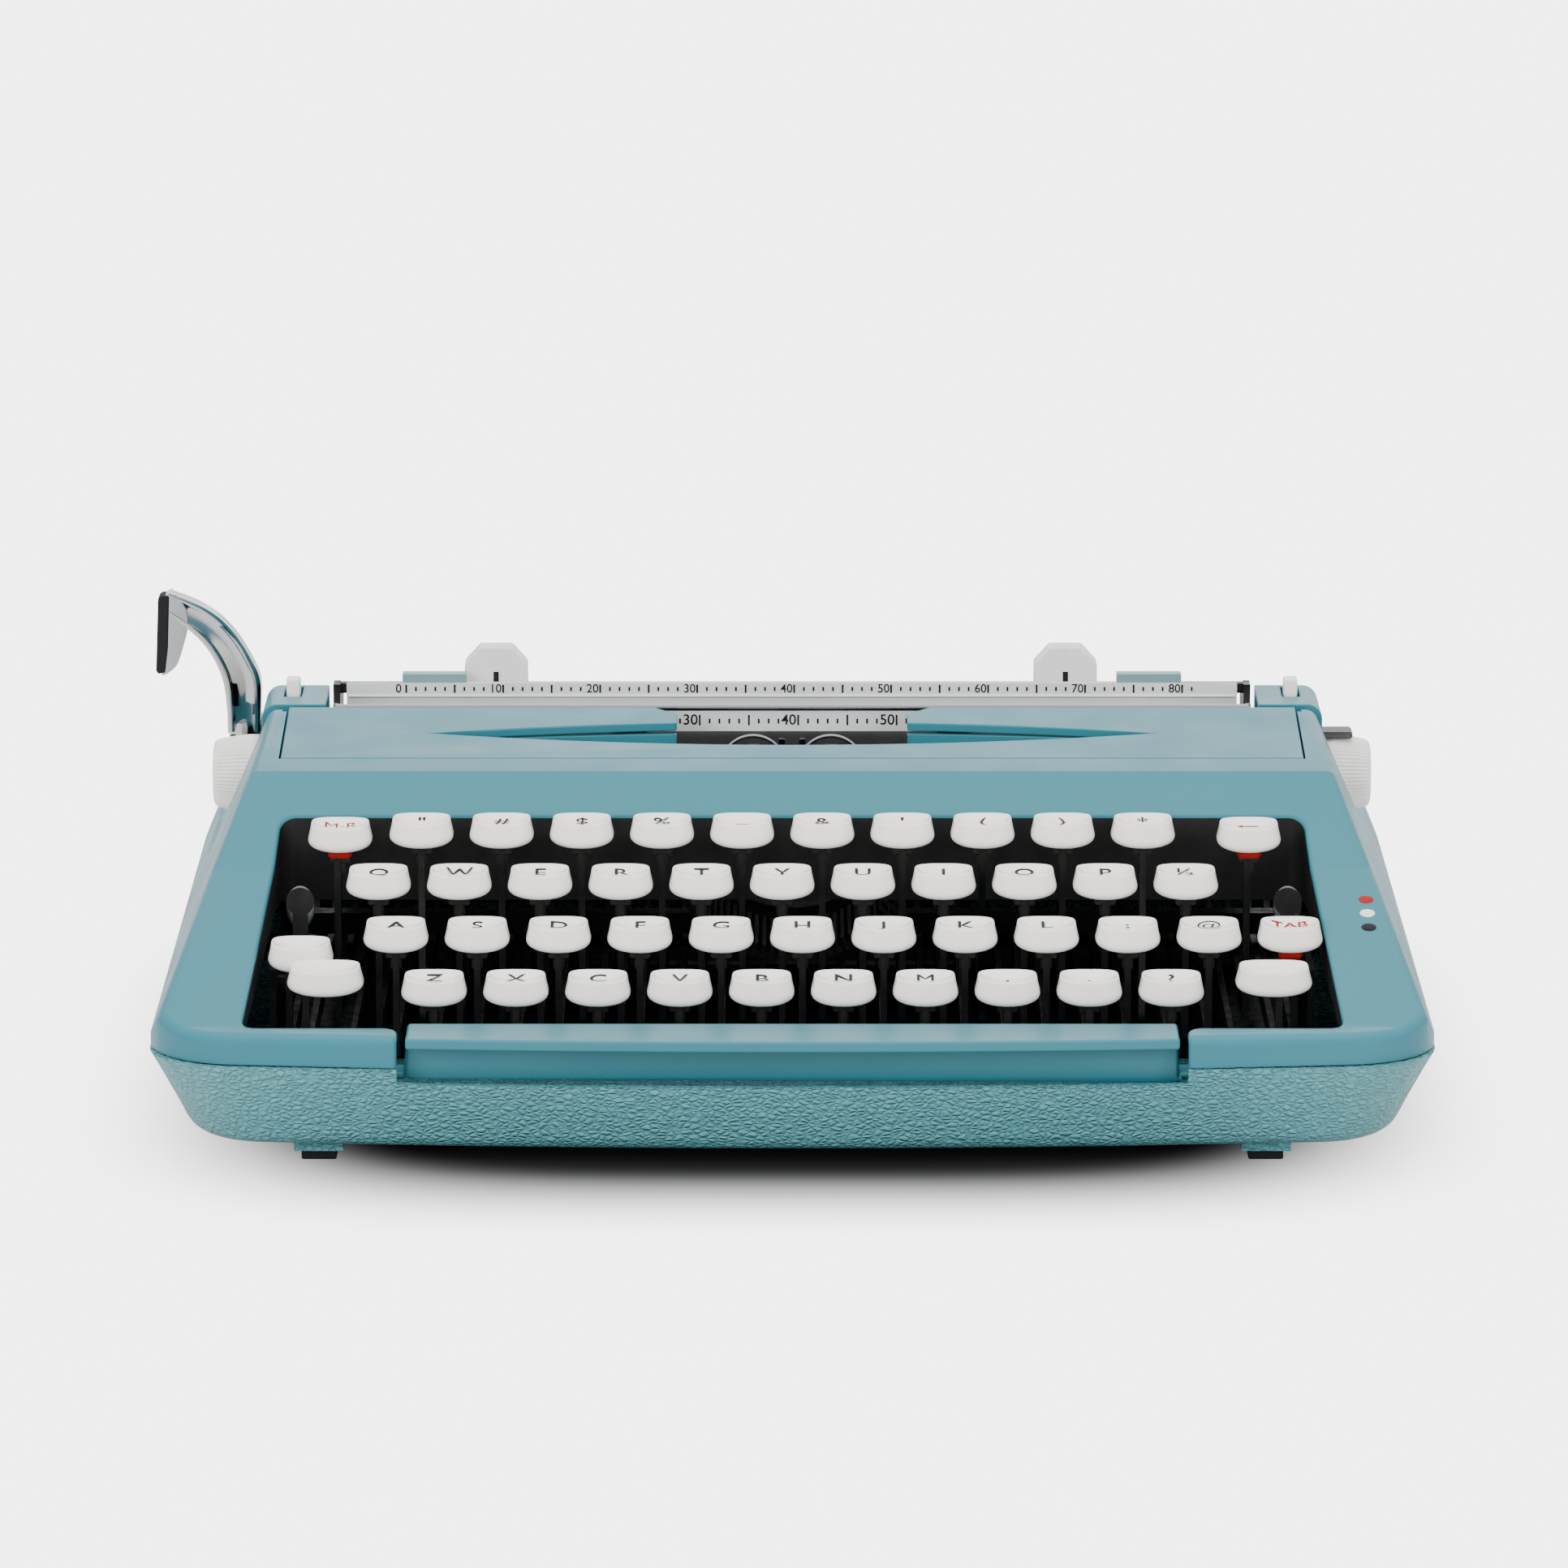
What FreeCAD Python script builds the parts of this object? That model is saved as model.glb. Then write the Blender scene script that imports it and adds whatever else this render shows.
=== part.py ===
import FreeCAD, Part
import os
import Sketcher

# A flat portable typewriter.  X runs to the right, Y to the back and Z up.
# The origin is under the middle of the machine, on the surface it stands on.

SIZES = {
    "ground": 0.0, "middle": 0.0,
    # case
    "case_half_width": 156.5, "case_front": 139.4, "case_back": 137.0, "case_bow_radius": 1320.0,
    "case_wall": 2.2, "rim_height": 28.0, "widest_height": 31.0, "case_height": 83.0,
    "floor_height": 5.5, "floor_half_width": 146.5, "floor_front": 126.5, "floor_back": 131.0,
    "case_corner": 24.0, "floor_edge": 8.0, "joint_gap": 0.4,
    "lip_front": 138.0, "lip_back": 124.0, "lip_height": 36.0, "lip_edge": 3.0,
    "deck_back": 52.0, "deck_height": 59.8, "crease_y": 22.0, "crease_height": 77.8,
    "well_front": 34.0, "well_half": 131.0, "well_back": 106.0, "well_height": 44.5, "rear_height": 62.0,
    "rear_slope_y": 128.0, "rear_slope_height": 56.0, "top_half_width": 134.0, "ridge_round": 3.0,
    # keyboard opening
    "opening_back": 36.0, "opening_back_half": 128.0, "opening_front_half": 133.5, "opening_corner": 4.0,
    "skirt_depth": 12.0, "skirt_wall": 1.8, "skirt_front_depth": 5.0, "skirt_back_height": 67.9,
    "bar_notch_half": 95.5, "bar_notch_height": 24.0, "rim_round": 1.2, "rim_round_front": 129.0,
    # feet
    "foot_x": 115.5, "foot_front": 108.0, "foot_back": 106.0, "foot_half": 4.3, "foot_height": 2.6,
    "foot_pad_half": 6.0, "foot_pad_low": 2.6,
    # ribbon cover
    "cover_front": 11.0, "cover_back": 33.4, "cover_half_width": 129.5, "cover_sheet": 2.2,
    "cover_front_height": 78.84, "cover_back_height": 83.04, "cover_gap": 0.4, "cover_roll": 1.1,
    "trough_radius": 437.0, "trough_front": 1.0, "trough_back": 20.5, "trough_depth": 5.0,
    "trough_wall": 1.6, "notch_half": 29.5, "notch_front": 3.0, "notch_chamfer": 6.0,
    # keys
    "key_pitch": 20.0, "cap_half_width": 8.0, "cap_half_depth": 6.7, "cap_height": 6.8, "cap_corner": 5.0,
    "cap_dish_radius": 16.0, "cap_dish_lift": 14.8,
    "shift_cap_half": 9.35, "row_1_y": -45.0, "row_2_y": -64.0, "row_3_y": -83.0, "row_4_y": -102.0,
    "row_1_top": 71.0, "row_2_top": 62.2, "row_3_top": 53.1, "row_4_top": 44.1,
    "row_1_first": -92.5, "row_2_first": -102.5, "row_3_first": -97.5, "row_4_first": -87.5,
    "lever_thickness": 1.6, "lever_half": 0.8, "lever_low": 19.5, "lever_high": 25.0, "stem_half": 2.2,
    "knee_y": 44.0, "knee_run": 5.0, "hub_radius": 4.5, "hub_half": 3.6,
    "fulcrum_y": 60.0, "fulcrum_z": 30.0, "fulcrum_radius": 2.0, "fulcrum_bore": 2.05,
    "margin_key_x": -112.8, "backspace_x": 113.9, "tab_x": 122.4, "lever_outer_x": 123.6,
    "left_shift_x": -114.0, "right_shift_x": 117.5, "shift_lever_x": 118.8, "lock_x": -120.7,
    "lock_y": -88.0, "lock_top": 49.3, "side_key_drop": 1.1, "side_lever_x": 113.5,
    "shift_tube_radius": 2.0, "shift_tube_y": 36.0, "shift_tube_z": 13.6, "shift_top": 46.7,
    # space bar
    "bar_half": 93.4, "bar_front": 138.0, "bar_back": 118.0, "bar_top": 35.6, "bar_nose": 2.8,
    "bar_skirt_front": 127.4, "bar_skirt_wall": 2.0, "bar_skirt_low": 23.8, "bar_arm_x": 108.3,
    "bar_arm_front": 121.0,
    # tabs beside the keys
    "tab_left_x": -122.0, "tab_right_x": 122.8, "tab_y": 63.0, "tab_top": 57.0,
    "tab_half_width": 3.5, "tab_neck_half": 1.9, "tab_half_sheet": 0.7, "tab_pivot_z": 33.0,
    "tab_pivot_radius": 1.5, "tab_pivot_bore": 1.55, "tab_hub_radius": 3.4,
    # chassis
    "plate_x": 128.6, "plate_half": 0.8, "plate_front": 72.0, "plate_back": 110.0, "plate_low": 8.2,
    "plate_top": 38.0, "base_front": 40.0, "base_high": 9.6,
    "beam_front": 14.0, "beam_back": 20.0, "beam_low": 27.5, "beam_high": 33.0,
    "rail_1_y": 80.0, "rail_2_y": 96.0, "rail_z": 38.9, "rail_radius": 3.0, "rail_bore": 3.05,
    "rail_half": 148.0, "bracket_inner": 144.6, "bracket_outer": 147.4, "bracket_half": 4.2,
    "bracket_foot": 127.8, "bracket_low": 30.0,
    "spool_x": 84.0, "spool_y": 8.0, "spool_low": 52.0, "spool_high": 66.0, "spool_radius": 20.0,
    "spool_core": 12.0, "spool_flange": 0.8, "spool_post": 2.5, "spool_bore": 2.55, "spool_post_top": 68.0,
    "spool_shelf_low": 48.0, "spool_shelf_high": 50.0, "spool_shelf_inner": 64.0,
    "spool_shelf_half": 14.0,
    # type segment and typebars
    "segment_radius": 34.0, "segment_inner": 26.0, "segment_y": 7.0, "segment_thick": 7.0,
    "segment_centre": 62.0, "segment_reach": 40.0, "typebar_count": 42, "typebar_half": 0.5,
    "typebar_high": 29.0, "typebar_low": 31.2, "typebar_back": 6.9, "typebar_length": 33.0,
    "typebar_spread": 82.0, "slug_half": 0.9, "slug_length": 3.0, "slug_low": 32.6,
    "guide_x": 10.0, "guide_y": 29.5, "guide_high": 74.0, "guide_half": 1.6, "guide_half_thick": 0.5,
    "guide_foot": 2.0,
    # carriage
    "carriage_plate_x": 119.5, "carriage_plate_half": 0.9, "carriage_front": 37.0,
    "carriage_back": 101.0, "carriage_low": 46.4, "carriage_plate_top": 74.0,
    "carriage_bar_high": 50.4, "carriage_bar_front": 73.0, "carriage_bar_back": 100.6,
    "block_x": 16.0, "block_half_wide": 8.0, "block_half": 5.0, "block_low": 34.4,
    "platen_y": 53.0, "platen_z": 61.5, "platen_radius": 14.6, "platen_half": 116.6,
    "platen_shaft": 3.0, "platen_bearing": 3.06, "knob_inner": 138.0, "knob_outer": 150.2,
    "knob_radius": 10.2, "knob_tip_radius": 8.6, "knob_shaft_end": 147.0,
    "end_cover_outer": 136.8, "end_cover_low": 66.8, "end_cover_high": 83.0,
    "end_cover_front": 36.6, "end_cover_back": 62.4, "end_cover_wall": 1.6, "end_cover_round": 4.0,
    "slot_half_wide": 2.3, "slot_half_long": 6.6,
    "table_half": 116.6, "table_foot_y": 73.2, "table_head_y": 75.0, "table_thick": 1.6,
    "table_head_z": 81.0, "ear_inner": 85.0, "ear_outer": 102.0, "ear_low": 74.0, "ear_high": 83.4,
    "ear_thick": 2.4,
    "bail_half": 117.8, "bail_y": 39.2, "bail_low": 75.6, "bail_high": 82.0, "bail_half_thick": 0.6,
    "bail_pivot_y": 64.0, "bail_pivot_z": 66.6, "bail_arm_x": 117.9, "bail_arm_thick": 1.2,
    "bail_arm_half": 2.2, "bail_arm_half_thick": 0.6, "bail_pivot_radius": 1.5, "bail_pivot_bore": 1.55,
    "roller_y": 43.6, "roller_z": 77.6, "roller_radius": 3.3, "roller_x": 42.0, "roller_half": 4.5,
    "roller_rod": 1.0,
    "rack_y": 84.0, "rack_low": 76.7, "rack_high": 79.3, "rack_half_deep": 1.5, "rack_post_half": 3.0,
    "stop_left_x": -77.6, "stop_right_x": 71.8, "stop_half": 8.25, "stop_low": 75.1,
    "stop_high": 89.4, "stop_half_deep": 3.4, "stop_shoulder": 85.0, "stop_peak_half": 4.2,
    "stop_gap": 0.12,
    "nub_x": 129.3, "nub_pivot_y": 53.5, "nub_pivot_z": 70.4, "nub_top": 86.8, "nub_half_wide": 1.8,
    "nub_half_deep": 2.4, "nub_pin": 1.5, "nub_bore": 1.55, "nub_hub": 2.9,
    # return lever
    "return_x": -143.6, "return_y": 80.0, "return_low": 66.6, "return_high": 72.6,
    "return_hub": 4.6, "return_pin": 2.0, "return_bore": 2.05, "return_pin_top": 74.0,
    "bracket_outer_x": -147.6, "return_bracket_low": 64.4, "return_bracket_high": 66.2,
    "return_bracket_half": 4.0, "return_half_thick": 3.4, "return_leg_left": -148.8,
    "return_leg_right": -139.6, "return_bend_x": -160.4, "return_bend_z": 25.2,
    "return_bend_outer": 20.8, "return_bend_inner": 11.6, "return_tip_low": 22.0,
    "return_tip_right": -157.4, "return_tip_left": -160.6, "return_lean": 27.0,
}

EPSILON = 1e-4
WIDE = "case_half_width + case_half_width"
KEY_ROWS = (
    ["key_%d" % number for number in (2, 3, 4, 5, 6, 7, 8, 9, 0)] + ["key_dash"],
    ["key_" + letter for letter in "qwertyuiop"] + ["key_fraction"],
    ["key_" + letter for letter in "asdfghjkl"] + ["key_semicolon", "key_at"],
    ["key_" + letter for letter in "zxcvbnm"] + ["key_comma", "key_period", "key_slash"],
)
SIDE_KEYS = (
    ("margin_release_key", "margin_key_x", "- side_lever_x", "row_1_y", "row_1_top - side_key_drop"),
    ("backspace_key", "backspace_x", "side_lever_x", "row_1_y", "row_1_top - side_key_drop"),
    ("tab_key", "tab_x", "lever_outer_x", "row_3_y", "row_3_top"),
)
SHIFT_CAPS = (
    ("left_shift", "left_shift_x", "- shift_lever_x", "row_4_y", "shift_top", "shift_cap_half"),
    ("right_shift", "right_shift_x", "shift_lever_x", "row_4_y", "shift_top", "shift_cap_half"),
    ("shift_lock", "lock_x", "- lever_outer_x", "lock_y", "lock_top", "cap_half_width"),
)
FOOT_SPOTS = (("front_left", "- foot_x", "- foot_front"), ("front_right", "foot_x", "- foot_front"),
              ("back_left", "- foot_x", "foot_back"), ("back_right", "foot_x", "foot_back"))

doc = FreeCAD.newDocument("typewriter")
sheet = doc.addObject("Spreadsheet::Sheet", "d")


def fill_sheet():
    for row, (alias, number) in enumerate(SIZES.items(), 1):
        sheet.set("A%d" % row, alias)
        sheet.set("B%d" % row, str(number))
        sheet.setAlias("B%d" % row, alias)
    doc.recompute()


def value(formula):
    """The number that a sum of aliases stands for, such as 'row_1_y - stem_half'."""
    total = 0.0
    sign = 1.0
    for word in formula.split():
        if word in "+-":
            sign = -1.0 if word == "-" else 1.0
        else:
            total += sign * SIZES[word]
            sign = 1.0
    return total


def expression(formula):
    words = [word if word in "+-" else "d." + word for word in formula.split()]
    return " ".join(words)


def bind(item, name, formula):
    item.setExpression(name, expression(formula))


def place(item, at):
    for axis, formula in zip("xyz", at):
        if formula:
            bind(item, "Placement.Base." + axis, formula)


def negate(formula):
    """The formula to write after a minus sign, with each of its signs turned."""
    words = formula.split()
    if words[0] not in "+-":
        words.insert(0, "+")
    turned = {"+": "-", "-": "+"}
    flipped = [turned.get(word, word) for word in words]
    return " ".join(flipped)


def span(centre, half):
    return centre + " " + negate(half), centre + " + " + half


def both_sides(half, change=""):
    """From minus to plus a half width, which may carry a further change such as '- case_wall'."""
    outer = (half + " " + change).strip()
    return negate(outer), outer


def box(name, x_span, y_span, z_span):
    item = doc.addObject("Part::Box", name)
    spans = (x_span, y_span, z_span)
    for side, (low, high) in zip(("Length", "Width", "Height"), spans):
        bind(item, side, high + " " + negate(low))
    place(item, [low for low, high in spans])
    return item


AXIS_TURN = {
    "X": FreeCAD.Rotation(FreeCAD.Vector(0, 1, 0), 90),
    "Y": FreeCAD.Rotation(FreeCAD.Vector(1, 0, 0), -90),
    "Z": FreeCAD.Rotation(),
    "WEDGE": FreeCAD.Rotation(FreeCAD.Vector(1, 0, 0), 90),
}


def cylinder(name, axis, start, length, radius):
    item = doc.addObject("Part::Cylinder", name)
    bind(item, "Radius", radius)
    bind(item, "Height", length)
    item.Placement.Rotation = AXIS_TURN[axis]
    place(item, start)
    return item


def combine(kind, name, parts):
    item = doc.addObject(kind, name)
    if kind == "Part::Compound":
        item.Links = parts
    else:
        item.Shapes = parts
    return item


def fuse(name, *parts):
    return combine("Part::MultiFuse", name, list(parts))


def common(name, *parts):
    return combine("Part::MultiCommon", name, list(parts))


def node(name, *parts):
    return combine("Part::Compound", name, list(parts))


def cut(name, base, *tools):
    item = doc.addObject("Part::Cut", name)
    item.Base = base
    item.Tool = tools[0] if len(tools) == 1 else fuse(name + "_tools", *tools)
    return item


def rounded(name, base, radius, chosen):
    """Fillet the edges of base that the test chosen picks out."""
    doc.recompute()
    size = value(radius)
    picked = [n for n, edge in enumerate(base.Shape.Edges, 1) if chosen(edge)]
    item = doc.addObject("Part::Fillet", name)
    item.Base = base
    item.Edges = [(n, size, size) for n in picked]
    return item


def origin_plane(body, role):
    return next(plane for plane in body.Origin.OriginFeatures if plane.Role == role)


def pad(name, role, points, length):
    """A body whose outline is a polygon on an origin plane, padded evenly to both sides."""
    body = doc.addObject("PartDesign::Body", name)
    sketch = body.newObject("Sketcher::SketchObject", name + "_outline")
    sketch.AttachmentSupport = [(origin_plane(body, role), "")]
    sketch.MapMode = "FlatFace"
    draw_polygon(sketch, points)
    item = body.newObject("PartDesign::Pad", name + "_pad")
    item.Profile = sketch
    item.SideType = "Symmetric"
    bind(item, "Length", length)
    return body


def draw_polygon(sketch, points):
    corners = [FreeCAD.Vector(value(across), value(up), 0) for across, up in points]
    count = len(corners)
    for first, start in enumerate(corners):
        sketch.addGeometry(Part.LineSegment(start, corners[(first + 1) % count]))
    for first in range(count):
        sketch.addConstraint(Sketcher.Constraint("Coincident", first, 2, (first + 1) % count, 1))
    for first, (start, (across, up)) in enumerate(zip(corners, points)):
        for kind, number, formula in (("DistanceX", start.x, across), ("DistanceY", start.y, up)):
            index = sketch.addConstraint(Sketcher.Constraint(kind, -1, 1, first, 1, number))
            bind(sketch, "Constraints[%d]" % index, formula)


def is_above_lip(edge):
    return edge.BoundBox.ZMin > SIZES["lip_height"] - SIZES["lip_edge"]


def is_on_floor(edge):
    return edge.BoundBox.ZMax < SIZES["floor_height"] + EPSILON


def is_upright(edge):
    """A straight edge that climbs more than it runs, as at the corner of a case."""
    box_of = edge.BoundBox
    return box_of.ZLength > max(box_of.XLength, box_of.YLength)


def is_on_rim(edge, housing, opening):
    """An edge where the outside of the housing turns down into the keyboard opening."""
    middle = Part.Vertex(edge.valueAt((edge.FirstParameter + edge.LastParameter) / 2))
    near = all(middle.distToShape(item.Shape.Shells[0])[0] < EPSILON for item in (housing, opening))
    return near and edge.BoundBox.YMin > -SIZES["rim_round_front"]


def level_faces(shape, height):
    """Names of the flat level faces that lie at one height."""
    return ["Face%d" % n for n, face in enumerate(shape.Faces, 1)
            if face.BoundBox.ZLength < EPSILON and abs(face.BoundBox.ZMin - height) < EPSILON]


def housing_outline(inset):
    """The side view of the housing, as (y, z) corners, moved inwards by inset."""
    return [(y.replace("INSET", inset), z.replace("INSET", inset)) for y, z in (
        ("- lip_front + INSET", "rim_height + joint_gap - INSET"),
        ("- lip_front + INSET", "lip_height - lip_edge - INSET"),
        ("- lip_front + lip_edge + INSET", "lip_height - INSET"), ("- lip_back", "lip_height - INSET"),
        ("- deck_back", "deck_height - INSET"), ("- crease_y", "crease_height - INSET"),
        ("well_front - INSET", "case_height - INSET"), ("well_front - INSET", "well_height - INSET"),
        ("well_back + INSET", "well_height - INSET"), ("well_back + INSET", "rear_height - INSET"),
        ("rear_slope_y - INSET", "rear_slope_height - INSET"), ("case_back - INSET", "well_height - INSET"),
        ("case_back - INSET", "rim_height + joint_gap - INSET"))]


def housing_silhouette(inset):
    """The front view of the housing, as (x, z) corners, moved inwards by inset."""
    right = [(x + inset, z) for x, z in (
        ("top_half_width - ", "case_height + rim_height"), ("top_half_width - ", "case_height"),
        ("case_half_width - ", "widest_height"), ("case_half_width - ", "floor_height"))]
    left = [(negate(x), z) for x, z in reversed(right)]
    return right + left


def build_housing_solid(name, inset):
    profile = pad(name + "_profile", "YZ_Plane", housing_outline(inset), WIDE)
    silhouette = pad(name + "_silhouette", "XZ_Plane", housing_silhouette(inset), WIDE)
    plan_box = box(name + "_plan", both_sides("case_half_width", "- " + inset),
                   ("- lip_front + " + inset, "case_back - " + inset), ("ground", "case_height + rim_height"))
    plan_bow = cylinder(name + "_bow", "Z", ("", "case_bow_radius - lip_front", ""),
                        "case_height + case_height", "case_bow_radius - " + inset)
    plan = rounded(name + "_plan_round", common(name + "_plan_bowed", plan_box, plan_bow),
                   "case_corner - " + inset, is_upright)
    return common(name + "_solid", profile, silhouette, plan)


def build_skirt(solid):
    """The wall that hangs down all round the keyboard opening."""
    ring = pad("skirt_ring", "XY_Plane", (
        ("- opening_back_half - skirt_wall", "- opening_back + skirt_wall"),
        ("- opening_front_half - skirt_wall", "- lip_back - skirt_wall"),
        ("opening_front_half + skirt_wall", "- lip_back - skirt_wall"),
        ("opening_back_half + skirt_wall", "- opening_back + skirt_wall")), WIDE)
    band = pad("skirt_band", "YZ_Plane", (
        ("- lip_back - skirt_wall", "lip_height - skirt_wall"), ("- lip_back", "lip_height - skirt_wall"),
        ("- deck_back", "deck_height - skirt_wall"), ("- opening_back", "skirt_back_height"),
        ("- opening_back + skirt_wall", "skirt_back_height"),
        ("- opening_back + skirt_wall", "deck_height - skirt_depth"),
        ("- deck_back", "deck_height - skirt_depth"), ("- lip_back", "lip_height - skirt_front_depth"),
        ("- lip_back - skirt_wall", "lip_height - skirt_front_depth")), WIDE)
    return common("opening_skirt", ring, band, solid)


def build_top_housing():
    solid = rounded("housing_soft", build_housing_solid("housing", "middle"), "ridge_round", is_above_lip)
    hollow = cut("housing_shell", solid, build_housing_solid("housing_inside", "case_wall"))
    shell = fuse("housing_with_skirt", hollow, build_skirt(solid))
    opening = pad("keyboard_opening", "XY_Plane", (
        ("- opening_back_half", "- opening_back"), ("- opening_front_half", "- lip_back"),
        ("- bar_notch_half", "- lip_back"), ("- bar_notch_half", "- case_front - case_wall"),
        ("bar_notch_half", "- case_front - case_wall"), ("bar_notch_half", "- lip_back"),
        ("opening_front_half", "- lip_back"), ("opening_back_half", "- opening_back")), WIDE)
    opening = rounded("opening_soft", opening, "opening_corner", is_upright)
    well = box("carriage_well", both_sides("well_half"), ("well_front - case_wall - case_wall", "well_back"),
               ("rim_height", "case_height + rim_height"))
    cover_hole = box("cover_hole", both_sides("cover_half_width", "+ cover_gap"),
                     ("- cover_front - cover_gap", "well_front + case_wall"),
                     ("deck_height", "case_height + rim_height"))
    opened = cut("housing_opened", shell, opening, well, cover_hole)
    return rounded("top_housing", opened, "rim_round", lambda edge: is_on_rim(edge, solid, opening))


def shelled(name, solid):
    """Hollow a solid to the wall of the case, open where it meets the joint at the rim."""
    doc.recompute()
    item = doc.addObject("Part::Thickness", name)
    item.Faces = (solid, level_faces(solid.Shape, SIZES["rim_height"]))
    item.Value = -SIZES["case_wall"]
    item.Join = 2
    return item


def build_bottom_shell():
    wedge = doc.addObject("Part::Wedge", "shell_wedge")
    for name, formula in (("Xmin", "- floor_half_width"), ("Xmax", "floor_half_width"),
                          ("X2min", "- case_half_width"), ("X2max", "case_half_width"),
                          ("Zmin", "- floor_back"), ("Zmax", "floor_front"),
                          ("Z2min", "- case_back"), ("Z2max", "case_front"),
                          ("Ymin", "floor_height"), ("Ymax", "rim_height")):
        bind(wedge, name, formula)
    wedge.Placement.Rotation = AXIS_TURN["WEDGE"]
    bow = doc.addObject("Part::Cone", "shell_bow")
    bind(bow, "Radius1", "case_bow_radius - case_front + floor_front")
    bind(bow, "Radius2", "case_bow_radius")
    bind(bow, "Height", "rim_height - floor_height")
    place(bow, ("", "case_bow_radius - case_front", "floor_height"))
    cornered = rounded("shell_cornered", common("shell_bowed", wedge, bow), "case_corner", is_upright)
    solid = rounded("shell_solid", cornered, "floor_edge", is_on_floor)
    pads = [box("foot_pad_" + name, span(x, "foot_pad_half"), span(y, "foot_pad_half"),
                ("foot_pad_low", "floor_height + case_wall")) for name, x, y in FOOT_SPOTS]
    notch = box("rim_notch", both_sides("bar_notch_half"), ("- case_front - case_wall", "- lip_back"),
                ("bar_notch_height", "rim_height + case_wall"))
    return cut("bottom_shell", fuse("shell_with_pads", shelled("shell_hollow", solid), *pads), notch)


def build_feet():
    feet = [box("foot_" + name, span(x, "foot_half"), span(y, "foot_half"), ("ground", "foot_height"))
            for name, x, y in FOOT_SPOTS]
    return node("rubber_feet", *feet)


def build_ribbon_cover():
    """A flat lid, hinged on its rolled front edge, with a shallow eye-shaped trough.

    The trough opens into a notch at the type point.
    """
    roll_y = "- cover_front + cover_roll"
    roll_z = "cover_front_height - cover_roll"
    roll = cylinder("cover_rolled_edge", "X", ("- cover_half_width", roll_y, roll_z),
                    "cover_half_width + cover_half_width", "cover_roll")
    sheet_top = pad("cover_sheet", "YZ_Plane", (
        (roll_y, "cover_front_height - cover_sheet"), (roll_y, "cover_front_height"),
        ("cover_back", "cover_back_height"), ("cover_back", "cover_back_height - cover_sheet")),
        "cover_half_width + cover_half_width")
    pan = trough("cover_pan", "trough_wall", "cover_front_height - trough_depth", "cover_front_height")
    hollow = trough("cover_hollow", "middle", "cover_front_height - trough_depth + trough_wall",
                    "case_height + rim_height")
    notch = pad("cover_notch", "XY_Plane", (
        ("- notch_half", "notch_front"), ("notch_half", "notch_front"),
        ("notch_half", "cover_back - notch_chamfer"), ("notch_half + notch_chamfer", "cover_back"),
        ("notch_half + notch_chamfer", "cover_back + notch_chamfer"),
        ("- notch_half - notch_chamfer", "cover_back + notch_chamfer"),
        ("- notch_half - notch_chamfer", "cover_back"), ("- notch_half", "cover_back - notch_chamfer")),
        WIDE)
    return cut("ribbon_cover", fuse("cover_and_pan", sheet_top, roll, pan), hollow, notch)


def trough(name, wall, low, high):
    """The lens shape between two wide arcs, from one height to another."""
    front = cylinder(name + "_front_arc", "Z", ("", "trough_front - " + wall + " + trough_radius", low),
                     high + " " + negate(low), "trough_radius")
    back = cylinder(name + "_back_arc", "Z", ("", "trough_back + " + wall + " - trough_radius", low),
                    high + " " + negate(low), "trough_radius")
    return common(name, front, back)


def build_cap(name, width, y, top):
    """A key cap with rounded corners and a dished top, centred on x = 0."""
    block = box(name + "_block", span("middle", width), span(y, "cap_half_depth"),
                (top + " - cap_height", top))
    soft = rounded(name + "_soft", block, "cap_corner", is_upright)
    dish = doc.addObject("Part::Sphere", name + "_dish")
    bind(dish, "Radius", "cap_dish_radius")
    place(dish, ("", y, top + " + cap_dish_lift"))
    return cut(name, soft, dish)


def build_lever(name, y, top, x="middle"):
    """A flat lever that hangs on the fulcrum shaft, and the upright stem that its cap sits on."""
    stem = box(name + "_stem", span(x, "lever_half"), span(y, "stem_half"),
               ("lever_high", top + " - cap_height"))
    return build_arm(name, y + " - stem_half", "lever_high", x), stem


def build_arm(name, front, front_top, x):
    """The level part of a lever, from its front end back to the fulcrum."""
    profile = pad(name + "_profile", "YZ_Plane", (
        (front, "lever_low"), (front, front_top), ("knee_y", "lever_high"),
        ("fulcrum_y", "fulcrum_z + hub_half"), ("fulcrum_y", "fulcrum_z - hub_half"),
        ("knee_y + knee_run", "lever_low")), "lever_thickness")
    place(profile, (x, "", ""))
    hub = cylinder(name + "_hub", "X", (x + " - lever_half", "fulcrum_y", "fulcrum_z"),
                   "lever_thickness", "hub_radius")
    return cut(name, fuse(name + "_blank", profile, hub), fulcrum_hole(name, x))


def fulcrum_hole(name, x):
    return cylinder(name + "_bore", "X", (x + " - hub_radius", "fulcrum_y", "fulcrum_z"),
                    "hub_radius + hub_radius", "fulcrum_bore")


def build_key_rows():
    """Each letter key is its own piece.  The ten number keys share one node."""
    keys = []
    for row, names in enumerate(KEY_ROWS, 1):
        y = "row_%d_y" % row
        top = "row_%d_top" % row
        cap = build_cap("cap_row_%d" % row, "cap_half_width", y, top)
        lever = build_lever("lever_row_%d" % row, y, top)
        row_keys = []
        for column, key_name in enumerate(names):
            key = node(key_name, cap, *lever)
            steps = " + key_pitch" * column
            place(key, ("row_%d_first" % row + steps, "", ""))
            row_keys.append(key)
        keys.append(row_keys)
    number_row = node("number_row_keys", *keys[0])
    return [number_row] + keys[1] + keys[2] + keys[3]


def build_side_key(name, cap_x, lever_x, y, top):
    """A key whose cap sits beside its lever, on a short foot."""
    cap = build_cap(name + "_cap", "cap_half_width", y, top)
    place(cap, (cap_x, "", ""))
    return node(name, cap, *build_lever(name + "_lever", y, top, lever_x))


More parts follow.
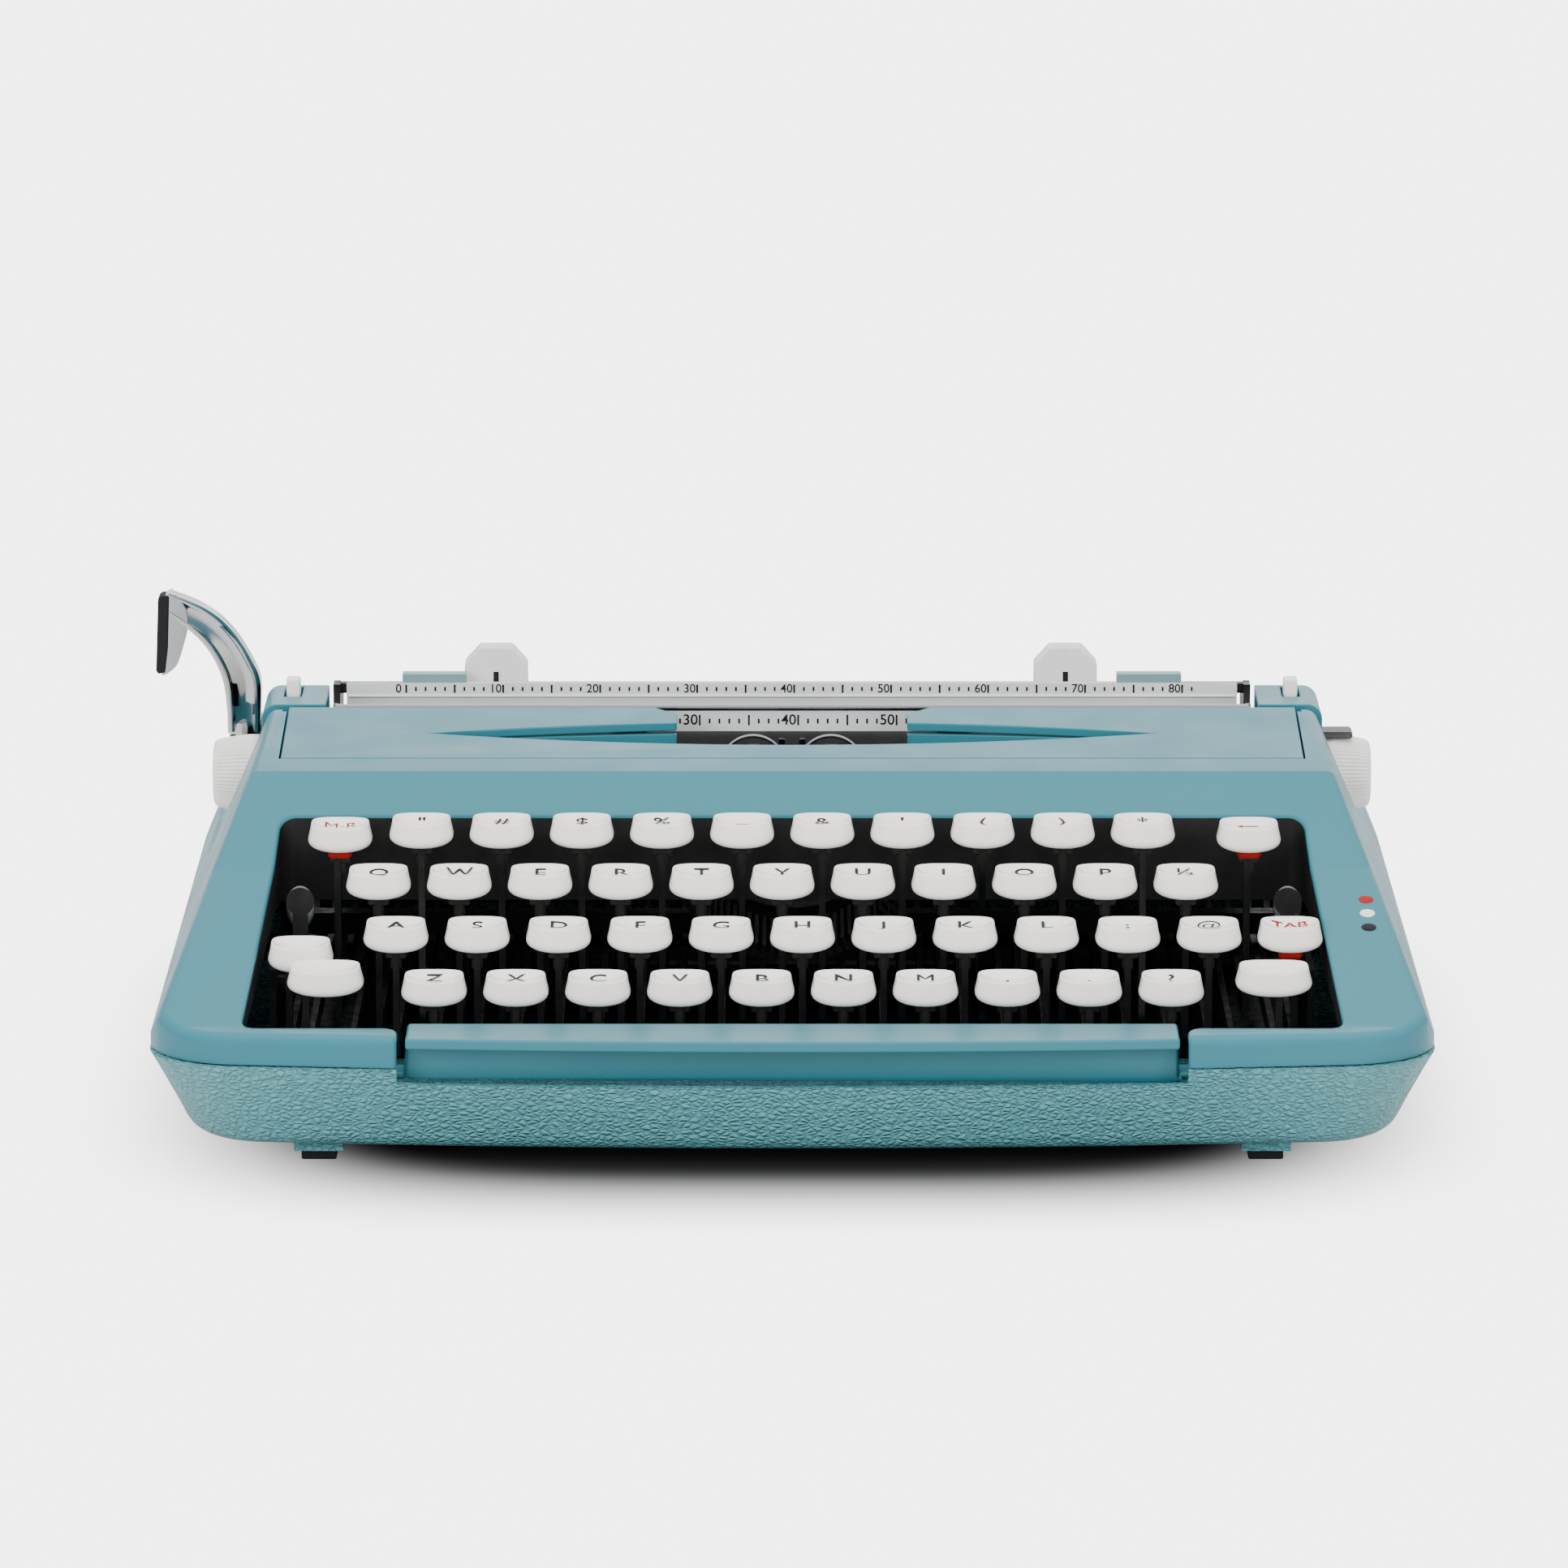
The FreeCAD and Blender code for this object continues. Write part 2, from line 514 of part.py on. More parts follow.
def build_shift_keys():
    """Left and right shift and the shift lock turn together on one cross tube."""
    parts = []
    for name, cap_x, lever_x, y, top, width in SHIFT_CAPS:
        cap = build_cap(name + "_cap", width, y, top)
        place(cap, (cap_x, "", ""))
        parts.append(cap)
        parts.extend(build_lever(name + "_lever", y, top, lever_x))
    tube = cylinder("shift_tube", "X", ("- lever_outer_x", "shift_tube_y", "shift_tube_z"),
                    "lever_outer_x + shift_lever_x", "shift_tube_radius")
    for name, x in (("lock_lug", "- lever_outer_x"), ("left_shift_lug", "- shift_lever_x"),
                    ("right_shift_lug", "shift_lever_x")):
        block = box(name + "_block", span(x, "lever_half"), span("shift_tube_y", "shift_tube_radius"),
                    ("shift_tube_z", "lever_low"))
        parts.append(cut(name, block, tube))
    return node("shift_keys", *parts, tube)


def build_space_bar():
    top_plate = box("bar_top_plate", both_sides("bar_half"), ("- bar_front", "- bar_back"),
                    ("bar_top - bar_nose", "bar_top"))
    bow = cylinder("bar_bow", "Z", ("", "case_bow_radius - bar_front", ""), "case_height", "case_bow_radius")
    skirt = box("bar_skirt", both_sides("bar_half"),
                ("- bar_skirt_front", "- bar_skirt_front + bar_skirt_wall"), ("bar_skirt_low", "bar_top"))
    bar = fuse("bar_pressing", common("bar_top_bowed", top_plate, bow), skirt)
    parts = [bar]
    for side, x in (("left", "- bar_arm_x"), ("right", "bar_arm_x")):
        tie_span = ("bar_half", "bar_arm_x - lever_half")
        if side == "left":
            tie_span = (negate(tie_span[1]), negate(tie_span[0]))
        parts.append(build_arm("bar_arm_" + side, "- bar_arm_front", "bar_skirt_low + lever_thickness", x))
        parts.append(box("bar_tie_" + side, tie_span, ("- bar_skirt_front", "- bar_back"),
                         ("bar_skirt_low", "bar_skirt_low + lever_thickness")))
    return node("space_bar", *parts)


def build_tab(name, x):
    """A sprung metal tab on a pivot pin, with a rounded head above the keys."""
    head = cylinder(name + "_head", "Y", (x, "- tab_y - tab_half_sheet", "tab_top - tab_half_width"),
                    "tab_half_sheet + tab_half_sheet", "tab_half_width")
    blade = box(name + "_blade", span(x, "tab_neck_half"), span("- tab_y", "tab_half_sheet"),
                ("tab_pivot_z", "tab_top - tab_half_width"))
    hub = cylinder(name + "_hub", "X", (x + " - tab_neck_half", "- tab_y", "tab_pivot_z"),
                   "tab_neck_half + tab_neck_half", "tab_hub_radius")
    bore = cylinder(name + "_bore", "X", (x + " - hub_radius", "- tab_y", "tab_pivot_z"),
                    "hub_radius + hub_radius", "tab_pivot_bore")
    return cut(name, fuse(name + "_blank", head, blade, hub), bore)


def build_chassis():
    """Side plates, base, cross beam, fulcrum shaft, carriage rails, spool shelves and tab pins."""
    parts = [box("base_plate", both_sides("plate_x"), ("- base_front", "plate_back"),
                 ("plate_low", "base_high")),
             box("cross_beam", both_sides("plate_x"), ("beam_front", "beam_back"),
                 ("beam_low", "beam_high")),
             cylinder("fulcrum_shaft", "X", ("- plate_x", "fulcrum_y", "fulcrum_z"), "plate_x + plate_x",
                      "fulcrum_radius")]
    for side, x in (("left", "- plate_x"), ("right", "plate_x")):
        parts.append(box("side_plate_" + side, span(x, "plate_half"), ("- plate_front", "plate_back"),
                         ("plate_low", "plate_top")))
    for number in (1, 2):
        y = "rail_%d_y" % number
        parts.append(cylinder("rail_%d" % number, "X", ("- rail_half", y, "rail_z"),
                              "rail_half + rail_half", "rail_radius"))
        for side, inner, outer in (("left", "- bracket_outer", "- bracket_inner"),
                                   ("right", "bracket_inner", "bracket_outer")):
            parts.append(box("rail_bracket_%d_%s" % (number, side), (inner, outer),
                             span(y, "bracket_half"), ("bracket_low", "rail_z")))
    for side, low, high in (("left", "- bracket_outer", "- bracket_foot"),
                            ("right", "bracket_foot", "bracket_outer")):
        parts.append(box("rail_foot_" + side, (low, high),
                         ("rail_1_y - bracket_half", "rail_2_y + bracket_half"),
                         ("bracket_low - plate_half", "bracket_low + plate_half")))
    for side, low, high, x in (("left", "- plate_x", "- spool_shelf_inner", "- spool_x"),
                               ("right", "spool_shelf_inner", "plate_x", "spool_x")):
        parts.append(box("spool_shelf_" + side, (low, high), span("spool_y", "spool_shelf_half"),
                         ("spool_shelf_low", "spool_shelf_high")))
        parts.append(cylinder("spool_post_" + side, "Z", (x, "spool_y", "spool_shelf_low"),
                              "spool_post_top - spool_shelf_low", "spool_post"))
        leg_x = low if side == "left" else high
        parts.append(box("shelf_leg_" + side, span(leg_x, "plate_half"),
                         span("spool_y", "spool_shelf_half"), ("plate_low", "spool_shelf_high")))
    for side, low, high in (("left", "- plate_x", "tab_left_x - tab_neck_half - tab_half_sheet"),
                            ("right", "tab_right_x + tab_neck_half + tab_half_sheet", "plate_x")):
        parts.append(box("tab_collar_" + side, (low, high), span("- tab_y", "tab_pivot_radius"),
                         span("tab_pivot_z", "tab_pivot_radius")))
    parts.append(cylinder("tab_pin_left", "X", ("- plate_x", "- tab_y", "tab_pivot_z"),
                          "plate_x + tab_left_x + tab_hub_radius", "tab_pivot_radius"))
    parts.append(cylinder("tab_pin_right", "X", ("tab_right_x - tab_hub_radius", "- tab_y", "tab_pivot_z"),
                          "plate_x - tab_right_x + tab_hub_radius", "tab_pivot_radius"))
    return node("chassis_frame", fuse("chassis_parts", *parts))


def build_spool(name, x):
    height = "spool_high - spool_low"
    low = cylinder(name + "_low_flange", "Z", (x, "spool_y", "spool_low"), "spool_flange", "spool_radius")
    core = cylinder(name + "_core", "Z", (x, "spool_y", "spool_low"), height, "spool_core")
    high = cylinder(name + "_high_flange", "Z", (x, "spool_y", "spool_high - spool_flange"),
                    "spool_flange", "spool_radius")
    bore = cylinder(name + "_bore", "Z", (x, "spool_y", "spool_shelf_low"), "spool_post_top", "spool_bore")
    return cut(name, fuse(name + "_blank", low, core, high), bore)


def build_type_segment():
    """The half ring that the typebars pivot in, open upwards, and the type guide behind it."""
    ring = cylinder("segment_ring", "Y", ("", "segment_y", "segment_centre"), "segment_thick",
                    "segment_radius")
    hole = cylinder("segment_hole", "Y", ("", "segment_y - segment_thick", "segment_centre"),
                    "segment_thick + segment_thick + segment_thick", "segment_inner")
    lower = box("segment_lower", both_sides("segment_reach"), ("segment_y", "segment_y + segment_thick"),
                ("segment_centre - segment_reach", "segment_centre"))
    parts = [common("segment_casting", cut("segment_bored", ring, hole), lower)]
    for side, x in (("left", "- guide_x"), ("right", "guide_x")):
        parts.append(box("guide_post_" + side, span(x, "guide_half"), span("guide_y", "guide_half_thick"),
                         ("beam_high", "guide_high")))
    parts.append(box("guide_foot_plate", span("middle", "guide_x + guide_half"),
                     ("segment_y + segment_thick", "guide_y + guide_half_thick"),
                     ("beam_high", "beam_high + guide_foot")))
    return node("type_segment", fuse("segment_and_guide", *parts))


def build_typebars():
    """The typebars rest side by side in a half ring, pointing forwards, with a slug at each tip."""
    count = SIZES["typebar_count"]
    spread = SIZES["typebar_spread"]
    bars = []
    for number in range(count):
        turn = spread - 2 * spread * number / (count - 1)
        bar = box("typebar_%02d" % number, both_sides("typebar_half"), ("- typebar_length", "ground"),
                  ("- typebar_low", "- typebar_high"))
        slug = box("type_slug_%02d" % number, both_sides("slug_half"),
                   ("- typebar_length", "- typebar_length + slug_length"), ("- slug_low", "- typebar_low"))
        whole = fuse("typebar_and_slug_%02d" % number, bar, slug)
        whole.Placement.Rotation = FreeCAD.Rotation(FreeCAD.Vector(0, 1, 0), turn)
        place(whole, ("", "typebar_back", "segment_centre"))
        bars.append(whole)
    return node("typebars", *bars)


def build_carriage_frame():
    parts = [box("carriage_bar", both_sides("carriage_plate_x"),
                 ("carriage_bar_front", "carriage_bar_back"), ("carriage_low", "carriage_bar_high")),
             box("margin_rack", both_sides("carriage_plate_x"), span("rack_y", "rack_half_deep"),
                 ("rack_low", "rack_high"))]
    for side, x, pin_start in (("left", "- carriage_plate_x", "- nub_x - nub_half_wide"),
                               ("right", "carriage_plate_x", "carriage_plate_x")):
        block_x = negate("block_x") if side == "left" else "block_x"
        parts.append(box("carriage_plate_" + side, span(x, "carriage_plate_half"),
                         ("carriage_front", "carriage_back"), ("carriage_low", "carriage_plate_top")))
        parts.append(box("rack_post_" + side, span(x, "carriage_plate_half"),
                         span("rack_y", "rack_post_half"), ("carriage_plate_top", "rack_high")))
        parts.append(cylinder("nub_pin_" + side, "X", (pin_start, "nub_pivot_y", "nub_pivot_z"),
                              "nub_x + nub_half_wide - carriage_plate_x", "nub_pin"))
        parts.append(box("rail_block_" + side, span(block_x, "block_half_wide"),
                         ("rail_1_y - block_half", "rail_2_y + block_half"),
                         ("block_low", "carriage_low")))
    parts.append(box("return_bracket", ("bracket_outer_x", "- carriage_plate_x"),
                     span("return_y", "return_bracket_half"),
                     ("return_bracket_low", "return_bracket_high")))
    parts.append(cylinder("return_pin", "Z", ("return_x", "return_y", "return_bracket_low"),
                          "return_pin_top - return_bracket_low", "return_pin"))
    tools = [cylinder(name, "X", ("- case_half_width", y, z), WIDE, radius) for name, y, z, radius in (
        ("rail_hole_1", "rail_1_y", "rail_z", "rail_bore"),
        ("rail_hole_2", "rail_2_y", "rail_z", "rail_bore"),
        ("platen_hole", "platen_y", "platen_z", "platen_bearing"),
        ("bail_hole", "bail_pivot_y", "bail_pivot_z", "bail_pivot_bore"))]
    return cut("carriage_frame", fuse("carriage_parts", *parts), *tools)


def build_end_covers():
    """A cap over each end of the carriage, open below, with a slot for its lever."""
    covers = []
    for side, x in (("left", "- nub_x"), ("right", "nub_x")):
        inner = "carriage_plate_x + carriage_plate_half"
        outer = "end_cover_outer"
        wall = " + end_cover_wall"
        if side == "left":
            shell_span = (negate(outer), negate(inner))
            hollow_span = (negate(outer) + wall, negate(inner) + wall)
        else:
            shell_span = (inner, outer)
            hollow_span = (inner + " - end_cover_wall", outer + " - end_cover_wall")
        block = box("end_block_" + side, shell_span, ("end_cover_front", "end_cover_back"),
                    ("end_cover_low", "end_cover_high"))
        hollow = box("end_hollow_" + side, hollow_span,
                     ("end_cover_front + end_cover_wall", "end_cover_back - end_cover_wall"),
                     ("end_cover_low - end_cover_wall", "end_cover_high - end_cover_wall"))
        slot = box("end_slot_" + side, span(x, "slot_half_wide"), span("nub_pivot_y", "slot_half_long"),
                   ("nub_pivot_z", "end_cover_high + end_cover_wall"))
        soft = rounded("end_soft_" + side, block, "end_cover_round", is_outer_top)
        covers.append(cut("end_cover_" + side, soft, hollow, slot))
    return node("carriage_end_covers", *covers)


def is_outer_top(edge):
    """The long upper edge of an end cover, on the side away from the carriage."""
    middle = edge.BoundBox.Center
    is_long = edge.BoundBox.YLength > SIZES["end_cover_round"]
    return is_long and middle.z > SIZES["end_cover_high"] - EPSILON and abs(middle.x) > SIZES["nub_x"]


def build_paper_table():
    plate = pad("table_plate", "YZ_Plane", (
        ("table_foot_y", "carriage_bar_high"), ("table_foot_y + table_thick", "carriage_bar_high"),
        ("table_head_y + table_thick", "table_head_z"), ("table_head_y", "table_head_z")),
        "table_half + table_half")
    ears = [box(name, x_span, ("table_head_y", "table_head_y + table_thick + ear_thick"),
                ("ear_low", "ear_high")) for name, x_span in (
        ("ear_left", ("- ear_outer", "- ear_inner")), ("ear_right", ("ear_inner", "ear_outer")))]
    return node("paper_table", fuse("table_and_ears", plate, *ears))


def build_platen():
    roller = cylinder("platen_roller", "X", ("- platen_half", "platen_y", "platen_z"),
                      "platen_half + platen_half", "platen_radius")
    hole = cylinder("platen_core", "X", ("- platen_half", "platen_y", "platen_z"),
                    "platen_half + platen_half", "platen_shaft")
    shaft = cylinder("platen_axle", "X", ("- knob_shaft_end", "platen_y", "platen_z"),
                     "knob_shaft_end + knob_shaft_end", "platen_shaft")
    return node("platen", cut("platen_rubber", roller, hole), shaft)


def build_knobs():
    knobs = []
    for side, turn in (("left", -90), ("right", 90)):
        start = "- knob_inner" if side == "left" else "knob_inner"
        body = doc.addObject("Part::Cone", "knob_body_" + side)
        bind(body, "Radius1", "knob_radius")
        bind(body, "Radius2", "knob_tip_radius")
        bind(body, "Height", "knob_outer - knob_inner")
        body.Placement.Rotation = FreeCAD.Rotation(FreeCAD.Vector(0, 1, 0), turn)
        place(body, (start, "platen_y", "platen_z"))
        hole = cylinder("knob_hole_" + side, "X", ("- knob_shaft_end", "platen_y", "platen_z"),
                        "knob_shaft_end + knob_shaft_end", "platen_shaft")
        knobs.append(cut("knob_" + side, body, hole))
    return node("platen_knobs", *knobs)


def build_paper_bail():
    """The scale bar that holds the paper, on two arms, with its rollers behind it."""
    parts = [box("bail_strip", both_sides("bail_half"), span("bail_y", "bail_half_thick"),
                 ("bail_low", "bail_high")),
             cylinder("roller_rod", "X", ("- bail_half", "roller_y", "roller_z"),
                      "bail_half + bail_half", "roller_rod")]
    for side in ("left", "right"):
        sign = "- " if side == "left" else ""
        x = sign + "bail_arm_x"
        low_x = x + " - bail_arm_half_thick"
        arm = pad("bail_arm_" + side, "YZ_Plane", (
            ("bail_y - bail_half_thick", "bail_low"), ("bail_y - bail_half_thick", "bail_high"),
            ("roller_y", "bail_high"), ("bail_pivot_y + bail_arm_half", "bail_pivot_z + bail_arm_half"),
            ("bail_pivot_y + bail_arm_half", "bail_pivot_z - bail_arm_half"),
            ("bail_pivot_y - bail_arm_half", "bail_pivot_z - bail_arm_half")), "bail_arm_thick")
        place(arm, (x, "", ""))
        pin_start = "- carriage_plate_x - carriage_plate_half" if side == "left" else low_x
        parts.append(arm)
        parts.append(cylinder("bail_pin_" + side, "X", (pin_start, "bail_pivot_y", "bail_pivot_z"),
                              "carriage_plate_x + carriage_plate_half - bail_arm_x + bail_arm_half_thick",
                              "bail_pivot_radius"))
        parts.append(cylinder("bail_roller_" + side, "X", (sign + "roller_x - roller_half", "roller_y",
                              "roller_z"), "roller_half + roller_half", "roller_radius"))
    return node("paper_bail", fuse("bail_parts", *parts))


def build_margin_stop(name, x):
    """A small slider with a peaked head, gripping the margin rack."""
    head = pad(name + "_head", "XZ_Plane", (
        ("- stop_half", "stop_low"), ("stop_half", "stop_low"), ("stop_half", "stop_shoulder"),
        ("stop_peak_half", "stop_high"), ("- stop_peak_half", "stop_high"), ("- stop_half", "stop_shoulder")),
        "stop_half_deep + stop_half_deep")
    place(head, (x, "rack_y", ""))
    way = box(name + "_way", span(x, "stop_half + stop_gap"),
              span("rack_y", "rack_half_deep + stop_gap"), ("rack_low - stop_gap", "rack_high + stop_gap"))
    return cut(name, head, way)


def build_nub_lever(name, x):
    arm = box(name + "_arm", span(x, "nub_half_wide"), span("nub_pivot_y", "nub_half_deep"),
              ("nub_pivot_z", "nub_top"))
    hub = cylinder(name + "_hub", "X", (x + " - nub_half_wide", "nub_pivot_y", "nub_pivot_z"),
                   "nub_half_wide + nub_half_wide", "nub_hub")
    bore = cylinder(name + "_bore", "X", (x + " - nub_hub", "nub_pivot_y", "nub_pivot_z"),
                    "nub_hub + nub_hub", "nub_bore")
    return cut(name, fuse(name + "_blank", arm, hub), bore)


def build_return_lever():
    """An arm that rises beside the end cover, leans forward and hooks over to the left."""
    thick = both_sides("return_half_thick")
    leg = box("return_leg", ("return_leg_left", "return_leg_right"), thick, ("ground", "return_bend_z"))
    ring = cylinder("return_ring", "Y", ("return_bend_x", "- return_half_thick", "return_bend_z"),
                    "return_half_thick + return_half_thick", "return_bend_outer")
    eye = cylinder("return_eye", "Y", ("return_bend_x", "- return_half_thick", "return_bend_z"),
                   "return_half_thick + return_half_thick", "return_bend_inner")
    quarter = box("return_quarter", ("return_tip_left", "return_leg_right"), thick,
                  ("return_bend_z", "return_bend_z + return_bend_outer"))
    bend = common("return_bend", cut("return_hoop", ring, eye), quarter)
    tip = box("return_tip", ("return_tip_left", "return_tip_right"), thick,
              ("return_tip_low", "return_bend_z + return_bend_inner + return_half_thick"))
    blade = fuse("return_blade", leg, bend, tip)
    blade.Placement.Rotation = FreeCAD.Rotation(FreeCAD.Vector(1, 0, 0), SIZES["return_lean"])
    place(blade, ("", "return_y", "return_low"))
    hub = cylinder("return_hub_body", "Z", ("return_x", "return_y", "return_low"),
                   "return_high - return_low", "return_hub")
    base = box("return_trim", ("return_tip_left", "ground"),
               ("ground", "case_back"), ("return_low", "case_height + rim_height"))
    bore = cylinder("return_bore_hole", "Z", ("return_x", "return_y", "return_bracket_low"),
                    "return_pin_top - return_bracket_low + return_bore", "return_bore")
    return cut("return_lever", common("return_above_bracket", fuse("return_blank", blade, hub), base), bore)


def build_all():
    nodes = [build_top_housing(), build_bottom_shell(), build_feet(), build_ribbon_cover(),
             build_chassis(), build_type_segment(), build_typebars(), build_space_bar(),
             build_shift_keys(), build_tab("touch_lever", "tab_left_x"),
             build_tab("ribbon_selector", "tab_right_x"), build_spool("ribbon_spool_left", "- spool_x"),
             build_spool("ribbon_spool_right", "spool_x"), build_carriage_frame(), build_end_covers(),
             build_paper_table(), build_platen(), build_knobs(), build_paper_bail(),
             build_margin_stop("margin_stop_left", "stop_left_x"),
             build_margin_stop("margin_stop_right", "stop_right_x"),
             build_nub_lever("line_space_lever", "- nub_x"), build_nub_lever("release_lever", "nub_x"),
             build_return_lever()]
    for name, cap_x, lever_x, y, top in SIDE_KEYS:
        nodes.append(build_side_key(name, cap_x, lever_x, y, top))
    return nodes + build_key_rows()


def check_document():
    for item in doc.Objects:
        if "Invalid" in item.State or "Error" in item.State:
            raise RuntimeError("%s is %s" % (item.Label, item.State))


def write_parts(nodes):
    os.makedirs("parts", exist_ok=True)
    for item in nodes:
        if item.Shape.isNull() or not item.Shape.isValid():
            raise RuntimeError(item.Label + " has no valid shape")
        item.Shape.exportStep("parts/%s.step" % item.Label)
    print("wrote %d nodes" % len(nodes))


fill_sheet()
all_nodes = build_all()
doc.recompute()
check_document()
write_parts(all_nodes)
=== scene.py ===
"""The looks of a flat portable typewriter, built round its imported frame."""

import math

import bmesh
import bpy
from mathutils import Matrix, Vector
from mathutils.bvhtree import BVHTree


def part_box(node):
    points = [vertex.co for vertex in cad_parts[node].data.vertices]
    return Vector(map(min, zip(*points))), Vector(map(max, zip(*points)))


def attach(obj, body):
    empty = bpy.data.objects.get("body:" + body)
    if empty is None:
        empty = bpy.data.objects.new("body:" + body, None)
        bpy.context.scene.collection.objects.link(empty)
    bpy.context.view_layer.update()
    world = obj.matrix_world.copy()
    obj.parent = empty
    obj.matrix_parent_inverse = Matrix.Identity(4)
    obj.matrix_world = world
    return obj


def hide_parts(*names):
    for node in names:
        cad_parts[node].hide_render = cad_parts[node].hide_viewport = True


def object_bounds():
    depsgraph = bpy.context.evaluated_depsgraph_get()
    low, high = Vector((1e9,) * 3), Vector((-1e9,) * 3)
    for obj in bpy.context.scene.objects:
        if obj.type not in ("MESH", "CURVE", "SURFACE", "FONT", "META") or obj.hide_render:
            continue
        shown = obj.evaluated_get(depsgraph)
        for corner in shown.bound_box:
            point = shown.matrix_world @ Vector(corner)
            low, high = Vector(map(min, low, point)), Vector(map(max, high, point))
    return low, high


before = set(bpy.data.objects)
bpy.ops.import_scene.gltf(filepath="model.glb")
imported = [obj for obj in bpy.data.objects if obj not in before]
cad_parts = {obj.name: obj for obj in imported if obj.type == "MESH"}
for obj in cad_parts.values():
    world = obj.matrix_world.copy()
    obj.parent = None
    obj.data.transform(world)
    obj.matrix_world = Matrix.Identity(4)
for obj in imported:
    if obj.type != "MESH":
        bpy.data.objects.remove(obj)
CAD_LOW, CAD_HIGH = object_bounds()

MM = 0.001
PICA = 2.54
ROWS = (
    (("key_q", "Q"), ("key_w", "W"), ("key_e", "E"), ("key_r", "R"), ("key_t", "T"), ("key_y", "Y"),
     ("key_u", "U"), ("key_i", "I"), ("key_o", "O"), ("key_p", "P"), ("key_fraction", "½")),
    (("key_a", "A"), ("key_s", "S"), ("key_d", "D"), ("key_f", "F"), ("key_g", "G"), ("key_h", "H"),
     ("key_j", "J"), ("key_k", "K"), ("key_l", "L"), ("key_semicolon", ";"), ("key_at", "@")),
    (("key_z", "Z"), ("key_x", "X"), ("key_c", "C"), ("key_v", "V"), ("key_b", "B"), ("key_n", "N"),
     ("key_m", "M"), ("key_comma", ","), ("key_period", "."), ("key_slash", "?")),
)
NUMBER_LEGENDS = ("\"", "#", "$", "%", "_", "&", "'", "(", ")", "*")
KEY_PITCH = 20.0
CAP_HALF = 8.0
CAP_DEPTH = 6.7
CAP_HEIGHT = 6.9
SHIFT_HALF = 9.35
DISH = 1.7
SAG = 0.9
RIM_SCALE = 0.86
PIN_TILT = 27.0


# ---------------------------------------------------------------- materials

def new_material(name, color, roughness, metallic=0.0, coat=0.0):
    mat = bpy.data.materials.new(name)
    mat.use_nodes = True
    shader = mat.node_tree.nodes["Principled BSDF"]
    shader.inputs["Base Color"].default_value = (*color, 1.0)
    shader.inputs["Roughness"].default_value = roughness
    shader.inputs["Metallic"].default_value = metallic
    shader.inputs["Coat Weight"].default_value = coat
    return mat


def shader_of(mat):
    return mat.node_tree.nodes["Principled BSDF"]


def coordinates(mat, stretch):
    nodes = mat.node_tree.nodes
    coords = nodes.new("ShaderNodeTexCoord")
    mapping = nodes.new("ShaderNodeMapping")
    mapping.inputs["Scale"].default_value = stretch
    mat.node_tree.links.new(coords.outputs["Object"], mapping.inputs["Vector"])
    return mapping.outputs["Vector"]


def noise(mat, scale, detail=3.0, stretch=(1.0, 1.0, 1.0), distortion=0.0):
    node = mat.node_tree.nodes.new("ShaderNodeTexNoise")
    node.inputs["Scale"].default_value = scale
    node.inputs["Detail"].default_value = detail
    node.inputs["Distortion"].default_value = distortion
    mat.node_tree.links.new(coordinates(mat, stretch), node.inputs["Vector"])
    return node.outputs["Fac"]


def ranged(mat, factor, low, high, start=0.3, end=0.7):
    node = mat.node_tree.nodes.new("ShaderNodeMapRange")
    node.inputs["From Min"].default_value = start
    node.inputs["From Max"].default_value = end
    node.inputs["To Min"].default_value = low
    node.inputs["To Max"].default_value = high
    mat.node_tree.links.new(factor, node.inputs["Value"])
    return node.outputs["Result"]


def vary(mat, socket, factor, low, high):
    mat.node_tree.links.new(ranged(mat, factor, low, high), shader_of(mat).inputs[socket])


def vary_color(mat, factor, first, second, start=0.3, end=0.7):
    node = mat.node_tree.nodes.new("ShaderNodeMix")
    node.data_type = "RGBA"
    node.inputs["A"].default_value = (*first, 1.0)
    node.inputs["B"].default_value = (*second, 1.0)
    mat.node_tree.links.new(ranged(mat, factor, 0.0, 1.0, start, end), node.inputs["Factor"])
    mat.node_tree.links.new(node.outputs["Result"], shader_of(mat).inputs["Base Color"])


def bump(mat, height, strength, distance):
    node = mat.node_tree.nodes.new("ShaderNodeBump")
    node.inputs["Strength"].default_value = strength
    node.inputs["Distance"].default_value = distance
    mat.node_tree.links.new(height, node.inputs["Height"])
    mat.node_tree.links.new(node.outputs["Normal"], shader_of(mat).inputs["Normal"])


def pebbles(mat, scale):
    """Rounded cells with narrow creases between them, like moulded leather grain."""
    nodes = mat.node_tree.nodes
    links = mat.node_tree.links
    warp = nodes.new("ShaderNodeTexNoise")
    warp.inputs["Scale"].default_value = scale * 0.6
    vector = coordinates(mat, (1.0, 1.0, 1.5))
    links.new(vector, warp.inputs["Vector"])
    mix = nodes.new("ShaderNodeMix")
    mix.data_type = "VECTOR"
    mix.inputs["Factor"].default_value = 0.0014
    links.new(vector, mix.inputs["A"])
    links.new(warp.outputs["Color"], mix.inputs["B"])
    cells = nodes.new("ShaderNodeTexVoronoi")
    cells.feature = "DISTANCE_TO_EDGE"
    cells.inputs["Scale"].default_value = scale
    links.new(mix.outputs["Result"], cells.inputs["Vector"])
    return cells.outputs["Distance"]


